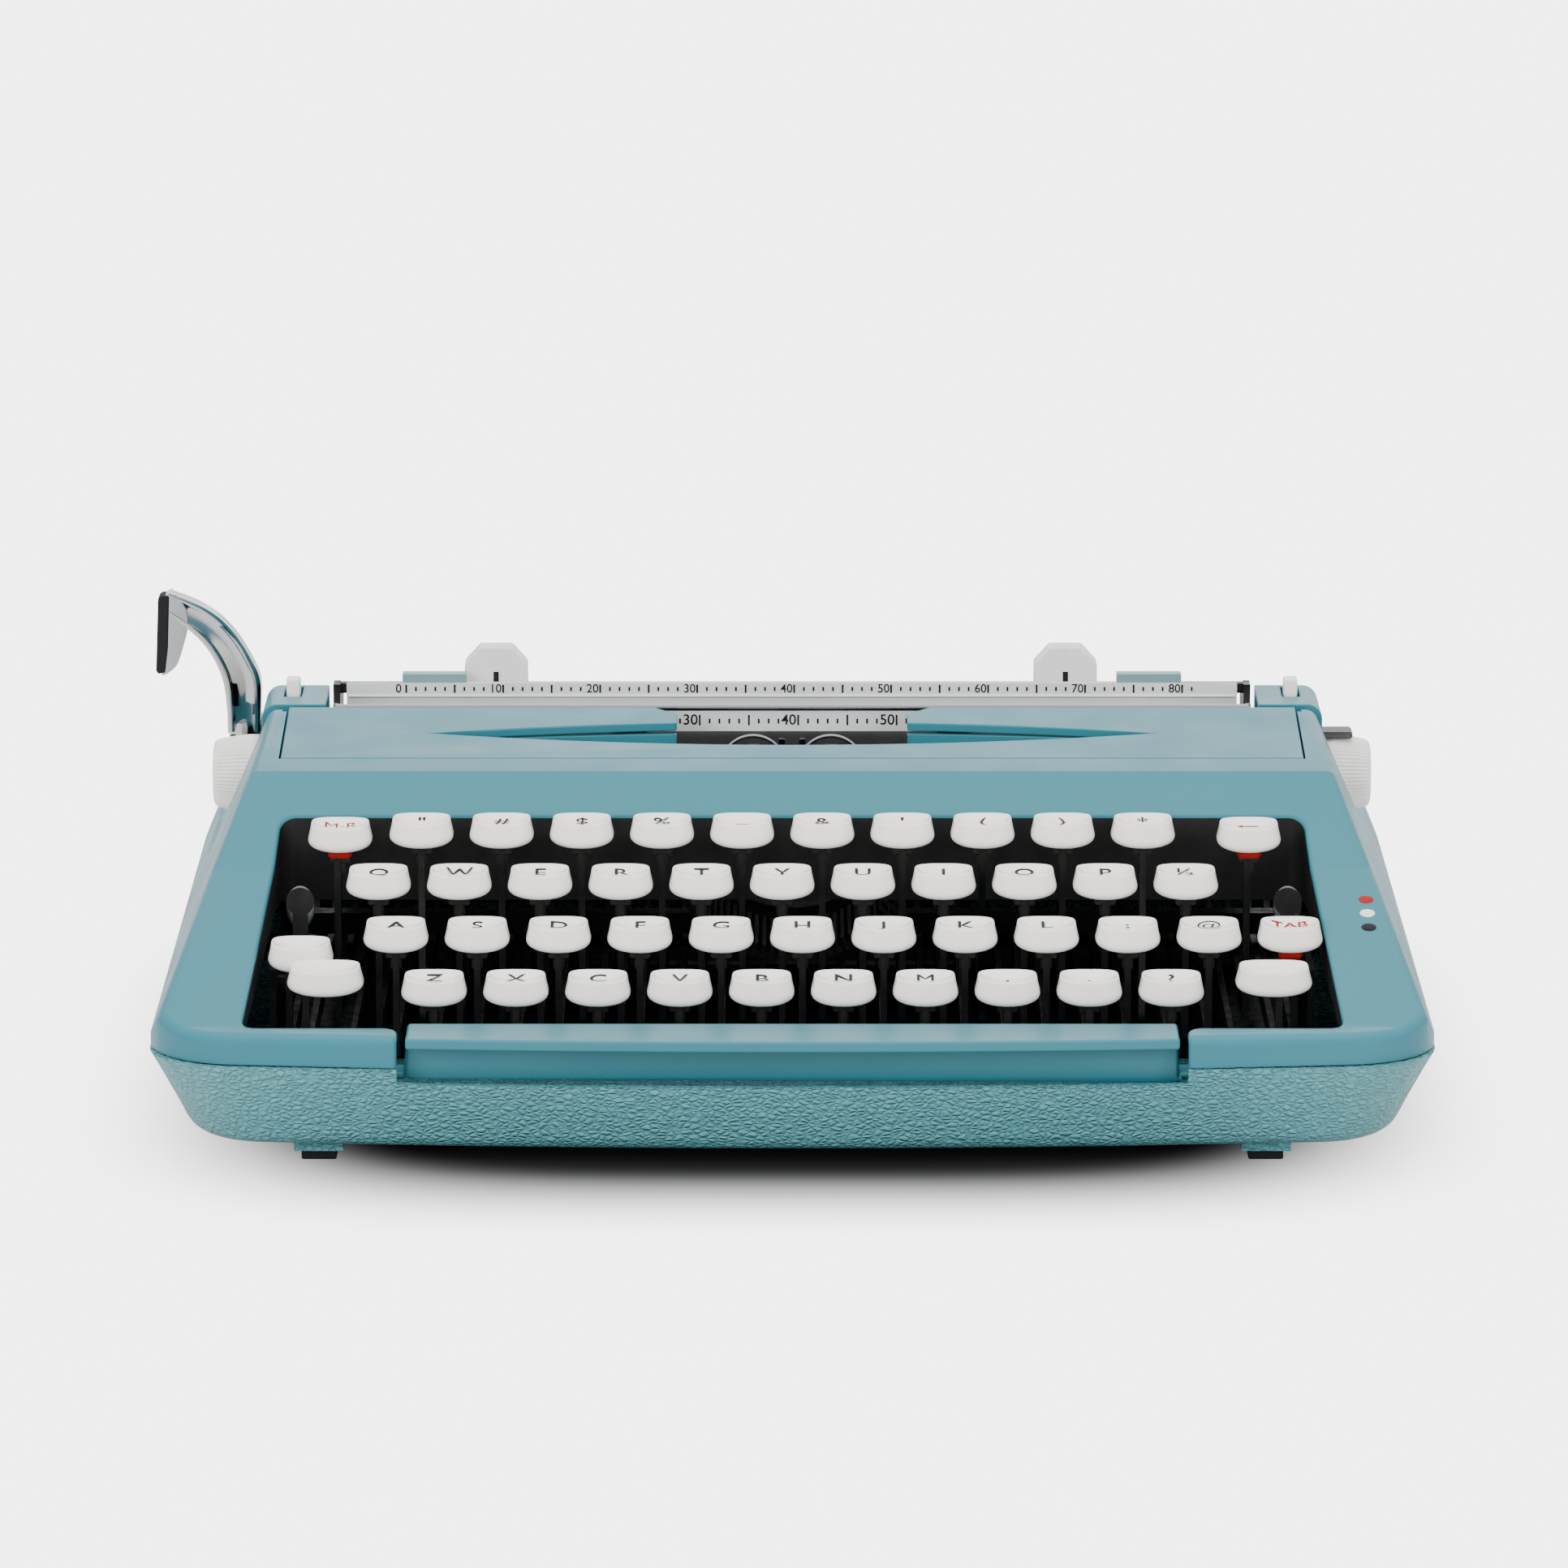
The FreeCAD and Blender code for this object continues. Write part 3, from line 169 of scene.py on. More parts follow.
def make_materials():
    made = {}
    teal = (0.024, 0.156, 0.198)
    teal_pale = (0.029, 0.168, 0.212)
    smooth = new_material("teal_enamel", teal, 0.33)
    shader_of(smooth).inputs["Specular IOR Level"].default_value = 0.36
    vary_color(smooth, noise(smooth, 9.0, 4.0), teal, teal_pale)
    vary(smooth, "Roughness", noise(smooth, 60.0, 5.0), 0.30, 0.40)
    bump(smooth, noise(smooth, 900.0, 2.0), 0.05, 0.0002)
    made["smooth"] = smooth
    ear = new_material("teal_ear", (0.17, 0.30, 0.32), 0.4)
    vary_color(ear, noise(ear, 40.0, 4.0), (0.16, 0.29, 0.31), (0.19, 0.32, 0.34))
    made["ear"] = ear
    grained = new_material("teal_grained", teal, 0.42)
    cells = pebbles(grained, 500.0)
    # The creases between the pebbles are painted darker, a painted shade in the creases; the shell's teal
    # is also painted lighter than the housing's, a painted fill of light from below.
    vary_color(grained, cells, (0.084, 0.285, 0.318), (0.106, 0.335, 0.368), 0.0, 0.13)
    vary(grained, "Roughness", noise(grained, 200.0), 0.30, 0.42)
    bump(grained, ranged(grained, cells, 0.0, 1.0, 0.0, 0.34), 0.9, 0.0007)
    made["grained"] = grained
    # Near-black put on the teal housing's own faces deep in the keyboard well: painted shade in the recess.
    well = new_material("well_painted_shade", (0.006, 0.006, 0.006), 0.6)
    vary(well, "Roughness", noise(well, 120.0), 0.5, 0.75)
    made["well"] = well
    rubber = new_material("foot_rubber", (0.012, 0.012, 0.013), 0.75)
    shader_of(rubber).inputs["Specular IOR Level"].default_value = 0.25
    bump(rubber, noise(rubber, 1500.0), 0.3, 0.0002)
    made["rubber"] = rubber
    mechanism = new_material("blackened_steel", (0.018, 0.018, 0.019), 0.42, metallic=0.6)
    vary(mechanism, "Roughness", noise(mechanism, 250.0, 4.0), 0.34, 0.6)
    vary_color(mechanism, noise(mechanism, 90.0, 4.0), (0.012, 0.012, 0.013), (0.03, 0.029, 0.028))
    made["mechanism"] = mechanism
    steel = new_material("type_steel", (0.32, 0.32, 0.33), 0.32, metallic=1.0)
    vary(steel, "Roughness", noise(steel, 300.0, 4.0), 0.25, 0.45)
    made["steel"] = steel
    cap = new_material("cap_plastic", (0.95, 0.915, 0.86), 0.22, coat=0.35)
    shader_of(cap).inputs["Subsurface Weight"].default_value = 0.08
    shader_of(cap).inputs["Subsurface Scale"].default_value = 0.002
    vary_color(cap, noise(cap, 140.0, 3.0), (0.96, 0.925, 0.865), (0.92, 0.88, 0.815))
    vary(cap, "Roughness", noise(cap, 320.0, 3.0), 0.16, 0.28)
    made["cap"] = cap
    legend = new_material("legend_ink", (0.015, 0.015, 0.016), 0.5)
    shader_of(legend).inputs["Specular IOR Level"].default_value = 0.1
    vary(legend, "Roughness", noise(legend, 900.0), 0.4, 0.6)
    made["legend"] = legend
    red = new_material("legend_red", (0.45, 0.02, 0.02), 0.5)
    vary_color(red, noise(red, 500.0), (0.31, 0.005, 0.005), (0.25, 0.004, 0.004))
    shader_of(red).inputs["Specular IOR Level"].default_value = 0.2
    made["red"] = red
    white = new_material("dot_white", (0.8, 0.8, 0.78), 0.4)
    vary(white, "Roughness", noise(white, 500.0), 0.35, 0.5)
    made["white"] = white
    chrome = new_material("chrome", (0.52, 0.53, 0.54), 0.10, metallic=1.0)
    vary(chrome, "Roughness", noise(chrome, 180.0, 5.0), 0.07, 0.17)
    made["chrome"] = chrome
    scale = new_material("brushed_scale", (0.78, 0.79, 0.80), 0.38, metallic=0.15)
    streaks = noise(scale, 60.0, 6.0, stretch=(1.0, 60.0, 60.0))
    vary(scale, "Roughness", streaks, 0.28, 0.46)
    vary_color(scale, noise(scale, 45.0, 5.0), (0.80, 0.81, 0.82), (0.70, 0.71, 0.72))
    bump(scale, streaks, 0.12, 0.0001)
    made["scale"] = scale
    tarnished = new_material("tarnished_plate", (0.11, 0.10, 0.095), 0.45, metallic=0.5)
    vary_color(tarnished, noise(tarnished, 120.0, 5.0), (0.13, 0.12, 0.11), (0.07, 0.062, 0.058))
    made["tarnished"] = tarnished
    for key, color in (("ribbon_black", (0.010, 0.010, 0.013)), ("ribbon_red", (0.16, 0.012, 0.014))):
        ribbon = new_material(key, color, 0.85)
        shader_of(ribbon).inputs["Sheen Weight"].default_value = 0.2
        vary(ribbon, "Roughness", noise(ribbon, 700.0, 2.0), 0.75, 0.95)
        threads = noise(ribbon, 1800.0, 1.0, stretch=(1.0, 1.0, 3.0))
        bump(ribbon, threads, 0.5, 0.0001)
        made[key] = ribbon
    platen = new_material("platen_rubber", (0.012, 0.012, 0.013), 0.55)
    vary(platen, "Roughness", noise(platen, 260.0, 4.0), 0.45, 0.65)
    made["platen"] = platen
    stop = new_material("stop_plastic", (0.94, 0.94, 0.92), 0.3)
    shader_of(stop).inputs["Transmission Weight"].default_value = 0.35
    shader_of(stop).inputs["Subsurface Weight"].default_value = 0.3
    shader_of(stop).inputs["Subsurface Scale"].default_value = 0.004
    vary(stop, "Roughness", noise(stop, 400.0), 0.26, 0.4)
    made["stop"] = stop
    knob = new_material("knob_plastic", (0.90, 0.89, 0.85), 0.4)
    vary_color(knob, noise(knob, 260.0, 4.0), (0.92, 0.91, 0.87), (0.84, 0.83, 0.78))
    vary(knob, "Roughness", noise(knob, 320.0), 0.32, 0.5)
    made["knob"] = knob
    return made


MATERIALS = make_materials()


# ---------------------------------------------------------------- mesh helpers

def box_mm(node):
    low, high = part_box(node)
    return low / MM, high / MM


def finished(name, bm, angle=35.0):
    """Turn a bmesh in millimetres into a smoothly shaded mesh in metres."""
    bmesh.ops.scale(bm, vec=(MM, MM, MM), verts=bm.verts)
    bmesh.ops.recalc_face_normals(bm, faces=bm.faces)
    mesh = bpy.data.meshes.new(name)
    bm.to_mesh(mesh)
    bm.free()
    mesh.shade_smooth()
    mesh.set_sharp_from_angle(angle=math.radians(angle))
    return mesh


def piece(name, mesh, body, materials, replaces=(), at=(0.0, 0.0, 0.0)):
    """Put a mesh on a body.  The position at is in millimetres."""
    if not mesh.materials:
        for key in materials:
            mesh.materials.append(MATERIALS[key])
    obj = bpy.data.objects.new(name, mesh)
    obj.location = Vector(at) * MM
    bpy.context.scene.collection.objects.link(obj)
    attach(obj, body)
    if replaces:
        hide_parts(*replaces)
    return obj


def bevelled(obj, width, segments=3, angle=35.0):
    modifier = obj.modifiers.new("soft_edges", "BEVEL")
    modifier.width = width * MM
    modifier.segments = segments
    modifier.limit_method = "ANGLE"
    modifier.angle_limit = math.radians(angle)
    modifier.harden_normals = True
    return obj


def islands(bm):
    left = set(bm.verts)
    while left:
        stack = [left.pop()]
        found = set(stack)
        while stack:
            for edge in stack.pop().link_edges:
                for vert in edge.verts:
                    if vert in left:
                        left.remove(vert)
                        found.add(vert)
                        stack.append(vert)
        yield found


def cad_bmesh(node, keep=None):
    """A node's own shape in millimetres, welded, with flat faces made whole.

    keep picks the separate solids to take, from the lowest and highest corner of each.
    """
    bm = bmesh.new()
    bm.from_mesh(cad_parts[node].data)
    bmesh.ops.scale(bm, vec=(1.0 / MM, 1.0 / MM, 1.0 / MM), verts=bm.verts)
    bmesh.ops.remove_doubles(bm, verts=bm.verts, dist=0.002)
    if keep:
        drop = []
        for found in islands(bm):
            low = [min(vert.co[axis] for vert in found) for axis in range(3)]
            high = [max(vert.co[axis] for vert in found) for axis in range(3)]
            if not keep(low, high):
                drop.extend(found)
        bmesh.ops.delete(bm, geom=drop, context="VERTS")
    bmesh.ops.dissolve_limit(bm, angle_limit=math.radians(0.4), verts=bm.verts, edges=bm.edges)
    return bm


def cad_piece(name, node, body, materials, keep=None, replaces=True, angle=35.0):
    mesh = finished(name, cad_bmesh(node, keep), angle)
    return piece(name, mesh, body, materials, (node,) if replaces else ())


def add_box(bm, low, high):
    low = Vector(low)
    high = Vector(high)
    matrix = Matrix.Translation((low + high) / 2) @ Matrix.Diagonal((*(high - low), 1.0))
    return bmesh.ops.create_cube(bm, size=1.0, matrix=matrix)["verts"]


def add_loft(bm, rings, closed=True, caps=True):
    """Skin a row of rings of points.  Each ring is a closed loop if closed is true."""
    made = [[bm.verts.new(point) for point in ring] for ring in rings]
    count = len(made[0])
    last = count if closed else count - 1
    for first, second in zip(made, made[1:]):
        for n in range(last):
            bm.faces.new((first[n], first[(n + 1) % count], second[(n + 1) % count], second[n]))
    if caps:
        bm.faces.new(made[0])
        bm.faces.new(made[-1])
    return made


def add_turned(bm, profile, axis, centre, around=48, ribs=0, rib_depth=0.0):
    """Turn a profile of (along, radius) pairs about an axis through centre."""
    centre = Vector(centre)
    rings = []
    for along, radius in profile:
        ring = []
        for n in range(around):
            turn = 2.0 * math.pi * n / around
            size = radius - rib_depth * (n % 2) * (ribs > 0)
            side, up = size * math.cos(turn), size * math.sin(turn)
            offset = {"X": (along, side, up), "Y": (side, along, up), "Z": (side, up, along)}[axis]
            ring.append(centre + Vector(offset))
        rings.append(ring)
    return add_loft(bm, rings)


def add_tube(bm, points, radius, around=14):
    """A round wire through a row of points."""
    points = [Vector(point) for point in points]
    rings = []
    for n, point in enumerate(points):
        ahead = points[min(n + 1, len(points) - 1)] - points[max(n - 1, 0)]
        turn = ahead.to_track_quat("Z", "Y")
        rings.append([point + turn @ Vector((radius * math.cos(a), radius * math.sin(a), 0.0))
                      for a in (2.0 * math.pi * k / around for k in range(around))])
    return add_loft(bm, rings)


def add_text(bm, words, size, to_place, align="CENTER"):
    """Add filled letters, with every flat point (u, v) put where to_place says."""
    curve = bpy.data.curves.new("words", "FONT")
    curve.body = words
    curve.size = size
    curve.align_x = align
    curve.align_y = "CENTER"
    curve.resolution_u = 5
    curve.offset = 0.0 if set(words) & set("M@") else size * 0.011
    holder = bpy.data.objects.new("words", curve)
    bpy.context.scene.collection.objects.link(holder)
    depsgraph = bpy.context.evaluated_depsgraph_get()
    flat = bpy.data.meshes.new_from_object(holder.evaluated_get(depsgraph))
    verts = [bm.verts.new(to_place(vert.co.x, vert.co.y)) for vert in flat.vertices]
    for polygon in flat.polygons:
        bm.faces.new([verts[index] for index in polygon.vertices])
    bpy.data.objects.remove(holder)
    bpy.data.curves.remove(curve)
    bpy.data.meshes.remove(flat)


def spline(points, steps=8):
    """Points along a smooth curve through the points given."""
    points = [Vector(point) for point in points]
    ends = [points[0] * 2 - points[1]] + points + [points[-1] * 2 - points[-2]]
    made = []
    for n in range(1, len(ends) - 2):
        a, b, c, d = ends[n - 1:n + 3]
        for step in range(steps):
            t = step / steps
            made.append(0.5 * (2 * b + (c - a) * t + (2 * a - 5 * b + 4 * c - d) * t * t
                               + (3 * b - a - 3 * c + d) * t ** 3))
    return made + [points[-1]]


# ---------------------------------------------------------------- keys

def cap_outline(half_x, scale, around=64):
    """A rounded oblong with a bowed front, as (x, y) points."""
    points = []
    for n in range(around):
        turn = 2.0 * math.pi * n / around
        c, s = math.cos(turn), math.sin(turn)
        x = math.copysign(abs(c) ** 0.62, c) * half_x
        y = math.copysign(abs(s) ** 0.62, s) * (CAP_DEPTH - 0.35)
        if y < 0.0:
            y -= 0.7 * (1.0 - (x / half_x) ** 2)
        points.append((x * scale, y * scale))
    return points


def rim_dip(x, y, half_x):
    """How far the front rim sags between its corners."""
    return SAG * (1.0 - min(1.0, abs(x) / half_x) ** 2) * min(1.0, max(0.0, 0.5 - 0.5 * y / CAP_DEPTH))


def dish_height(x, y, half_x):
    reach = min(1.0, math.hypot(x / half_x, y / CAP_DEPTH) / RIM_SCALE)
    return -DISH * (1.0 - reach ** 3) - rim_dip(x, y, half_x) * reach ** 3


def cap_mesh(name, half_x):
    """A moulded cap with a dished top, a thin rim and a lower edge that rises to the sides."""
    bm = bmesh.new()
    dish = [(scale, lambda x, y: dish_height(x, y, half_x))
            for scale in (0.1, 0.26, 0.42, 0.56, 0.68, 0.77)]

    def upper(drop):
        return lambda x, y: -drop - rim_dip(x, y, half_x)

    def level(share, lift=0.0):
        foot = lift - CAP_HEIGHT
        return lambda x, y: (foot + 1.1 * (x / half_x) ** 2) * share + upper(0.3)(x, y) * (1.0 - share)

    rim = [(0.835, upper(0.16)), (0.86, upper(0.0)), (0.885, upper(0.05)), (0.90, upper(0.30))]
    wall = [(0.915, level(0.12)), (0.947, level(0.35)), (0.978, level(0.55)), (0.998, level(0.70)),
            (0.99, level(0.81)), (0.957, level(0.90)), (0.90, level(0.96)), (0.82, level(1.0)),
            (0.4, level(1.0, 0.2))]
    rings = [[(x, y, height(x, y)) for x, y in cap_outline(half_x, scale)]
             for scale, height in dish + rim + wall]
    add_loft(bm, rings)
    return finished(name, bm, 60.0)


def legend_piece(name, words, body, material, at, half_x, size):
    """Printed letters that follow the dish of a cap."""
    def on_dish(u, v):
        x, y = u, v + 1.6
        return x, y, dish_height(x, y, half_x) + 0.04

    bm = bmesh.new()
    add_text(bm, words, size, on_dish)
    return piece(name, finished(name, bm), body, (material,), at=at)


def arrow_piece(name, body, at):
    """The backspace arrow, pointing left, on the dish of a cap."""
    bm = bmesh.new()
    outline = ((-3.0, 0.9), (-1.4, 2.1), (-1.4, 1.25), (2.6, 1.25), (2.6, 0.55), (-1.4, 0.55), (-1.4, -0.3))
    bm.faces.new([bm.verts.new((x, y + 0.4, dish_height(x, y, CAP_HALF) + 0.06)) for x, y in outline])
    return piece(name, finished(name, bm), body, ("red",), at=at)


def pad_mesh(name):
    """The small block that grips the stem under a cap."""
    bm = bmesh.new()
    add_box(bm, (-2.6, -1.9, -2.2), (2.6, 1.9, 0.0))
    add_box(bm, (-1.35, -1.2, -5.2), (1.35, 1.2, -2.2))
    bmesh.ops.bevel(bm, geom=bm.edges[:], offset=0.3, segments=2, affect="EDGES")
    return finished(name, bm)


def is_lever(_low, high):
    """A solid that reaches back under the machine, as a lever does and a cap does not."""
    return high[1] > 0.0


def build_letter_keys():
    cap = cap_mesh("letter_cap", CAP_HALF)
    pad = pad_mesh("stem_pad")
    for keys in ROWS:
        lever = None
        for node, legend in keys:
            low, high = box_mm(node)
            at = Vector(((low.x + high.x) / 2, low.y + CAP_DEPTH, high.z))
            piece("cap_" + node, cap, node, ("cap",), (node,), at)
            legend_piece("legend_" + node, legend, node, "legend", at, CAP_HALF, 6.4)
            piece("pad_" + node, pad, node, ("mechanism",), at=at - Vector((0, 0, CAP_HEIGHT)))
            if lever is None:
                shape = cad_bmesh(node, is_lever)
                bmesh.ops.translate(shape, verts=shape.verts, vec=(-at.x, 0.0, 0.0))
                lever = finished("lever_" + node, shape)
            piece("lever_" + node, lever, node, ("mechanism",), at=(at.x, 0.0, 0.0))


def build_number_keys():
    body = "number_row_keys"
    low, high = box_mm(body)
    cap = cap_mesh("number_cap", CAP_HALF)
    pad = pad_mesh("number_pad")
    for n, legend in enumerate(NUMBER_LEGENDS):
        at = Vector((low.x + CAP_HALF + n * KEY_PITCH, low.y + CAP_DEPTH, high.z))
        name = "number_%d" % n
        piece("cap_" + name, cap, body, ("cap",), (body,), at)
        legend_piece("legend_" + name, legend, body, "legend", at, CAP_HALF, 6.4)
        piece("pad_" + name, pad, body, ("mechanism",), at=at - Vector((0, 0, CAP_HEIGHT)))
    cad_piece("number_levers", body, body, ("mechanism",), is_lever, replaces=False)


def red_pad(name, body, at):
    """The red cushion that shows under a control key."""
    bm = bmesh.new()
    add_box(bm, (-2.9, -4.6, -CAP_HEIGHT - 1.7), (2.9, 2.6, -CAP_HEIGHT + 0.4))
    bmesh.ops.bevel(bm, geom=bm.edges[:], offset=0.5, segments=3, affect="EDGES")
    piece(name, finished(name, bm), body, ("red",), at=at)


def build_control_keys():
    cap = cap_mesh("control_cap", CAP_HALF)
    pad = pad_mesh("control_pad")
    for node, words in (("margin_release_key", "M-R"), ("backspace_key", ""), ("tab_key", "TAB")):
        low, high = box_mm(node)
        at = Vector(((low.x + high.x) / 2, low.y + CAP_DEPTH, high.z))
        piece("cap_" + node, cap, node, ("cap",), (node,), at)
        if words:
            legend_piece("legend_" + node, words, node, "red", at, CAP_HALF, 4.9)
        else:
            arrow_piece("legend_" + node, node, at)
        red_pad("cushion_" + node, node, at)
        piece("pad_" + node, pad, node, ("mechanism",),
              at=at - Vector((0, 0, CAP_HEIGHT + 1.0)))
        cad_piece("lever_" + node, node, node, ("mechanism",), is_lever, replaces=False)


def build_shift_keys():
    node = "shift_keys"
    low, high = box_mm(node)
    wide = cap_mesh("shift_cap", SHIFT_HALF)
    lock = cap_mesh("lock_cap", CAP_HALF)
    front = low.y + CAP_DEPTH
    left_x = low.x + CAP_HALF + 6.7
    piece("cap_shift_left", wide, node, ("cap",), (node,), (left_x, front, high.z - 2.8))
    piece("cap_shift_right", wide, node, ("cap",), (),
          (high.x - SHIFT_HALF, front, high.z - 2.8))
    piece("cap_shift_lock", lock, node, ("cap",), (),
          (low.x + CAP_HALF, front + 14.0, high.z))

    def not_cap(low_corner, high_corner):
        return high_corner[1] > 0.0 or low_corner[1] > 0.0

    cad_piece("shift_levers", node, node, ("mechanism",), not_cap, replaces=False)


# ---------------------------------------------------------------- case and cover

def between(value, points):
    """Straight-line reading of a row of (position, height) points."""
    for (start, first), (end, second) in zip(points, points[1:]):
        if value <= end:
            return first + (second - first) * max(0.0, value - start) / (end - start)
    return points[-1][1]


def build_case():
    low, high = box_mm("top_housing")
    deck = ((low.y + 10.5, 36.0), (low.y + 82.5, 59.8), (low.y + 98.5, 69.4))
    sides = ((low.y + 10.5, 133.5), (low.y + 98.5, 128.0))
    bm = cad_bmesh("top_housing")
    # Housing faces more than 1.5 mm below the deck inside the keyboard well get the near-black well
    # material, a painted shade.
    for face in bm.faces:
        middle = face.calc_center_median()
        within = low.y + 8.5 < middle.y < low.y + 99.5
        inside = within and abs(middle.x) < between(middle.y, sides) + 2.2
        face.material_index = int(inside and middle.z < between(middle.y, deck) - 1.5)
    surface = BVHTree.FromBMesh(bm)
    mesh = finished("top_housing_shell", bm, 32.0)
    piece("top_housing_shell", mesh, "root", ("smooth", "well"), ("top_housing",))
    build_deck_dots(surface, high.x - 14.5, low.y + 61.2)
    cad_piece("bottom_shell_grained", "bottom_shell", "root", ("grained",), angle=32.0)
    bevelled(cad_piece("feet", "rubber_feet", "root", ("rubber",)), 0.5)
    cover = cad_piece("ribbon_cover_lid", "ribbon_cover", "ribbon_cover", ("smooth",))
    bevelled(cover, 0.45)


def build_deck_dots(surface, x, y):
    """Three round spots on the deck that show the ribbon colours."""
    for name, back, material, slot in (("red", 6.2, "red", "red_mark"), ("white", 0.0, "white", "key_cap"),
                                       ("dark", -6.4, "legend", "key_legend")):
        spot, normal = surface.ray_cast(Vector((x, y + back, 200.0)), Vector((0.0, 0.0, -1.0)))[:2]
        turn = normal.to_track_quat("Z", "Y")
        bm = bmesh.new()
        rings = []
        for radius, lift in ((1.85, -0.2), (1.85, 0.06), (1.7, 0.14), (0.6, 0.16)):
            rings.append([spot + turn @ Vector((radius * math.cos(a), radius * math.sin(a), lift))
                          for a in (2.0 * math.pi * n / 40 for n in range(40))])
        add_loft(bm, rings)
        piece("deck_dot_" + name, finished("deck_dot_" + name, bm), "root", (material,))


def build_space_bar():
    """The teal bar and the black arms that carry it."""
    node = "space_bar"
    arms = cad_piece("space_bar_arms", node, node, ("mechanism",), is_lever)
    bevelled(arms, 0.2, 2)

    def is_bar(_low, high):
        return high[1] < 0.0

    bar = cad_piece("space_bar_pressing", node, node, ("smooth",), is_bar,
                    replaces=False)
    bevelled(bar, 0.8, 4)


def build_mechanism():
    cad_piece("chassis", "chassis_frame", "root", ("mechanism",))
    cad_piece("segment", "type_segment", "root", ("mechanism",))
    cad_piece("typebar_fan", "typebars", "root", ("mechanism",))
    for side in ("left", "right"):
        node = "ribbon_spool_" + side
        bevelled(cad_piece("spool_" + side, node, node, ("mechanism",)), 0.25, 2)
    build_type_guide()
    build_ribbon()
    for node, name in (("touch_lever", "touch_tab"), ("ribbon_selector", "ribbon_tab")):
        build_tab(node, name)


def build_ribbon():
    """The wound ribbon on both spools, and the stretch that passes in front of the platen."""
    guide = box_mm("type_segment")[1]
    wound, half, edge = 17.2, 5.8, 0.06
    centres = {}
    for side in ("left", "right"):
        node = "ribbon_spool_" + side
        low, high = box_mm(node)
        centre = (low + high) / 2
        centres[side] = centre
        bm = bmesh.new()
        profile = [(-half, 12.1), (-half, wound - 0.4), (-half + 0.3, wound), (0.0, wound + 0.08),
                   (half - 0.3, wound), (half, wound - 0.4), (half, 12.1)]
        add_turned(bm, profile, "Z", centre, around=72)
        for face in bm.faces:
            face.material_index = int(face.calc_center_median().z < centre.z)
        piece("ribbon_coil_" + side, finished("ribbon_coil_" + side, bm), node,
              ("ribbon_black", "ribbon_red"))
    left, right = centres["left"], centres["right"]
    back, top = guide.y + 1.7, guide.z - 8.5
    route = [(left.x, left.y + wound + 0.3, left.z), (left.x + 27.0, back - 2.6, left.z + 3.2),
             (-28.0, back, top - 0.8), (0.0, back, top), (28.0, back, top - 0.8),
             (right.x - 27.0, back - 2.6, right.z + 3.2), (right.x, right.y + wound + 0.3, right.z)]
    line = spline(route)
    bm = bmesh.new()
    section = ((-edge, -half), (-edge, 0.0), (-edge, half), (edge, half), (edge, 0.0), (edge, -half))
    add_loft(bm, [[p + Vector((0.0, side, up)) for side, up in section] for p in line])
    for face in bm.faces:
        middle = face.calc_center_median()
        nearest = min(line, key=lambda p, x=middle.x: abs(p.x - x))
        face.material_index = int(middle.z < nearest.z)
    strip = piece("ribbon_strip", finished("ribbon_strip", bm), "root",
                  ("ribbon_black", "ribbon_red"))
    length = sum((b - a).length for a, b in zip(line, line[1:])) * MM


def build_type_guide():
    """The two wire loops and the small blades that guide the paper and the type."""
    high = box_mm("type_segment")[1]
    y = high.y - 0.5
    bm = bmesh.new()
    for x in (-10.0, 10.0):
        arc = [(x + 8.2 * math.cos(turn), y, high.z - 6.0 + 8.2 * math.sin(turn))
               for turn in (math.pi * n / 24 for n in range(25))]
        add_tube(bm, [(x + 8.2, y, high.z - 14.0)] + arc + [(x - 8.2, y, high.z - 14.0)], 0.5)
    piece("guide_loops", finished("guide_loops", bm), "root", ("chrome",))
    bm = bmesh.new()
    for x in (-2.6, 2.6):
        add_box(bm, (x - 0.8, y - 0.4, high.z - 12.0), (x + 0.8, y + 0.4, high.z + 1.6))
    bmesh.ops.bevel(bm, geom=bm.edges[:], offset=0.25, segments=2, affect="EDGES")
    piece("guide_blades", finished("guide_blades", bm), "root", ("chrome",))


def build_tab(node, name):
    """A spoon-shaped finger tab over its thin blade."""
    cad_piece(name + "_blade", node, node, ("mechanism",))
    low, high = box_mm(node)
    middle = Vector(((low.x + high.x) / 2, (low.y + high.y) / 2, high.z - 5.0))
    bm = bmesh.new()
    bmesh.ops.create_uvsphere(bm, u_segments=40, v_segments=24, radius=1.0)
    for vert in bm.verts:
        hollow = 0.35 * max(0.0, 1.0 - vert.co.x ** 2 - vert.co.z ** 2) * (vert.co.y < 0.0)
        vert.co = middle + Vector((vert.co.x * 3.6, vert.co.y * 0.95 + hollow, vert.co.z * 5.4))
    piece(name + "_head", finished(name + "_head", bm), node, ("steel",))


# ---------------------------------------------------------------- carriage

def scale_marks(name, body, zero_x, pitch, steps, face_y, tick, digit_z, digit_size):
    """Ticks and numbers on the front of a strip.  face_y gives the face at a height."""
    bm = bmesh.new()
    for step in range(steps + 1):
        x = zero_x + step * pitch
        low, high = tick[0] if step % 5 else tick[1]
        face = min(face_y(low), face_y(high))
        if step % 10 != 9:
            add_box(bm, (x - 0.24, face - 0.06, low), (x + 0.24, face + 0.1, high))
        if step % 10 == 0:
            def on_face(u, v, x=x):
                return x - digit_size * 0.62 + u, face_y(digit_z + v) - 0.06, digit_z + v
            add_text(bm, str(step), digit_size, on_face)
    piece(name, finished(name, bm), body, ("legend",))


def front_of(bm, x=20.0):
    """A function that reads the front face of a strip at a height."""
    surface = BVHTree.FromBMesh(bm)

    def face_y(z):
        return surface.ray_cast(Vector((x, -200.0, z)), Vector((0.0, 1.0, 0.0)))[0].y

    return face_y


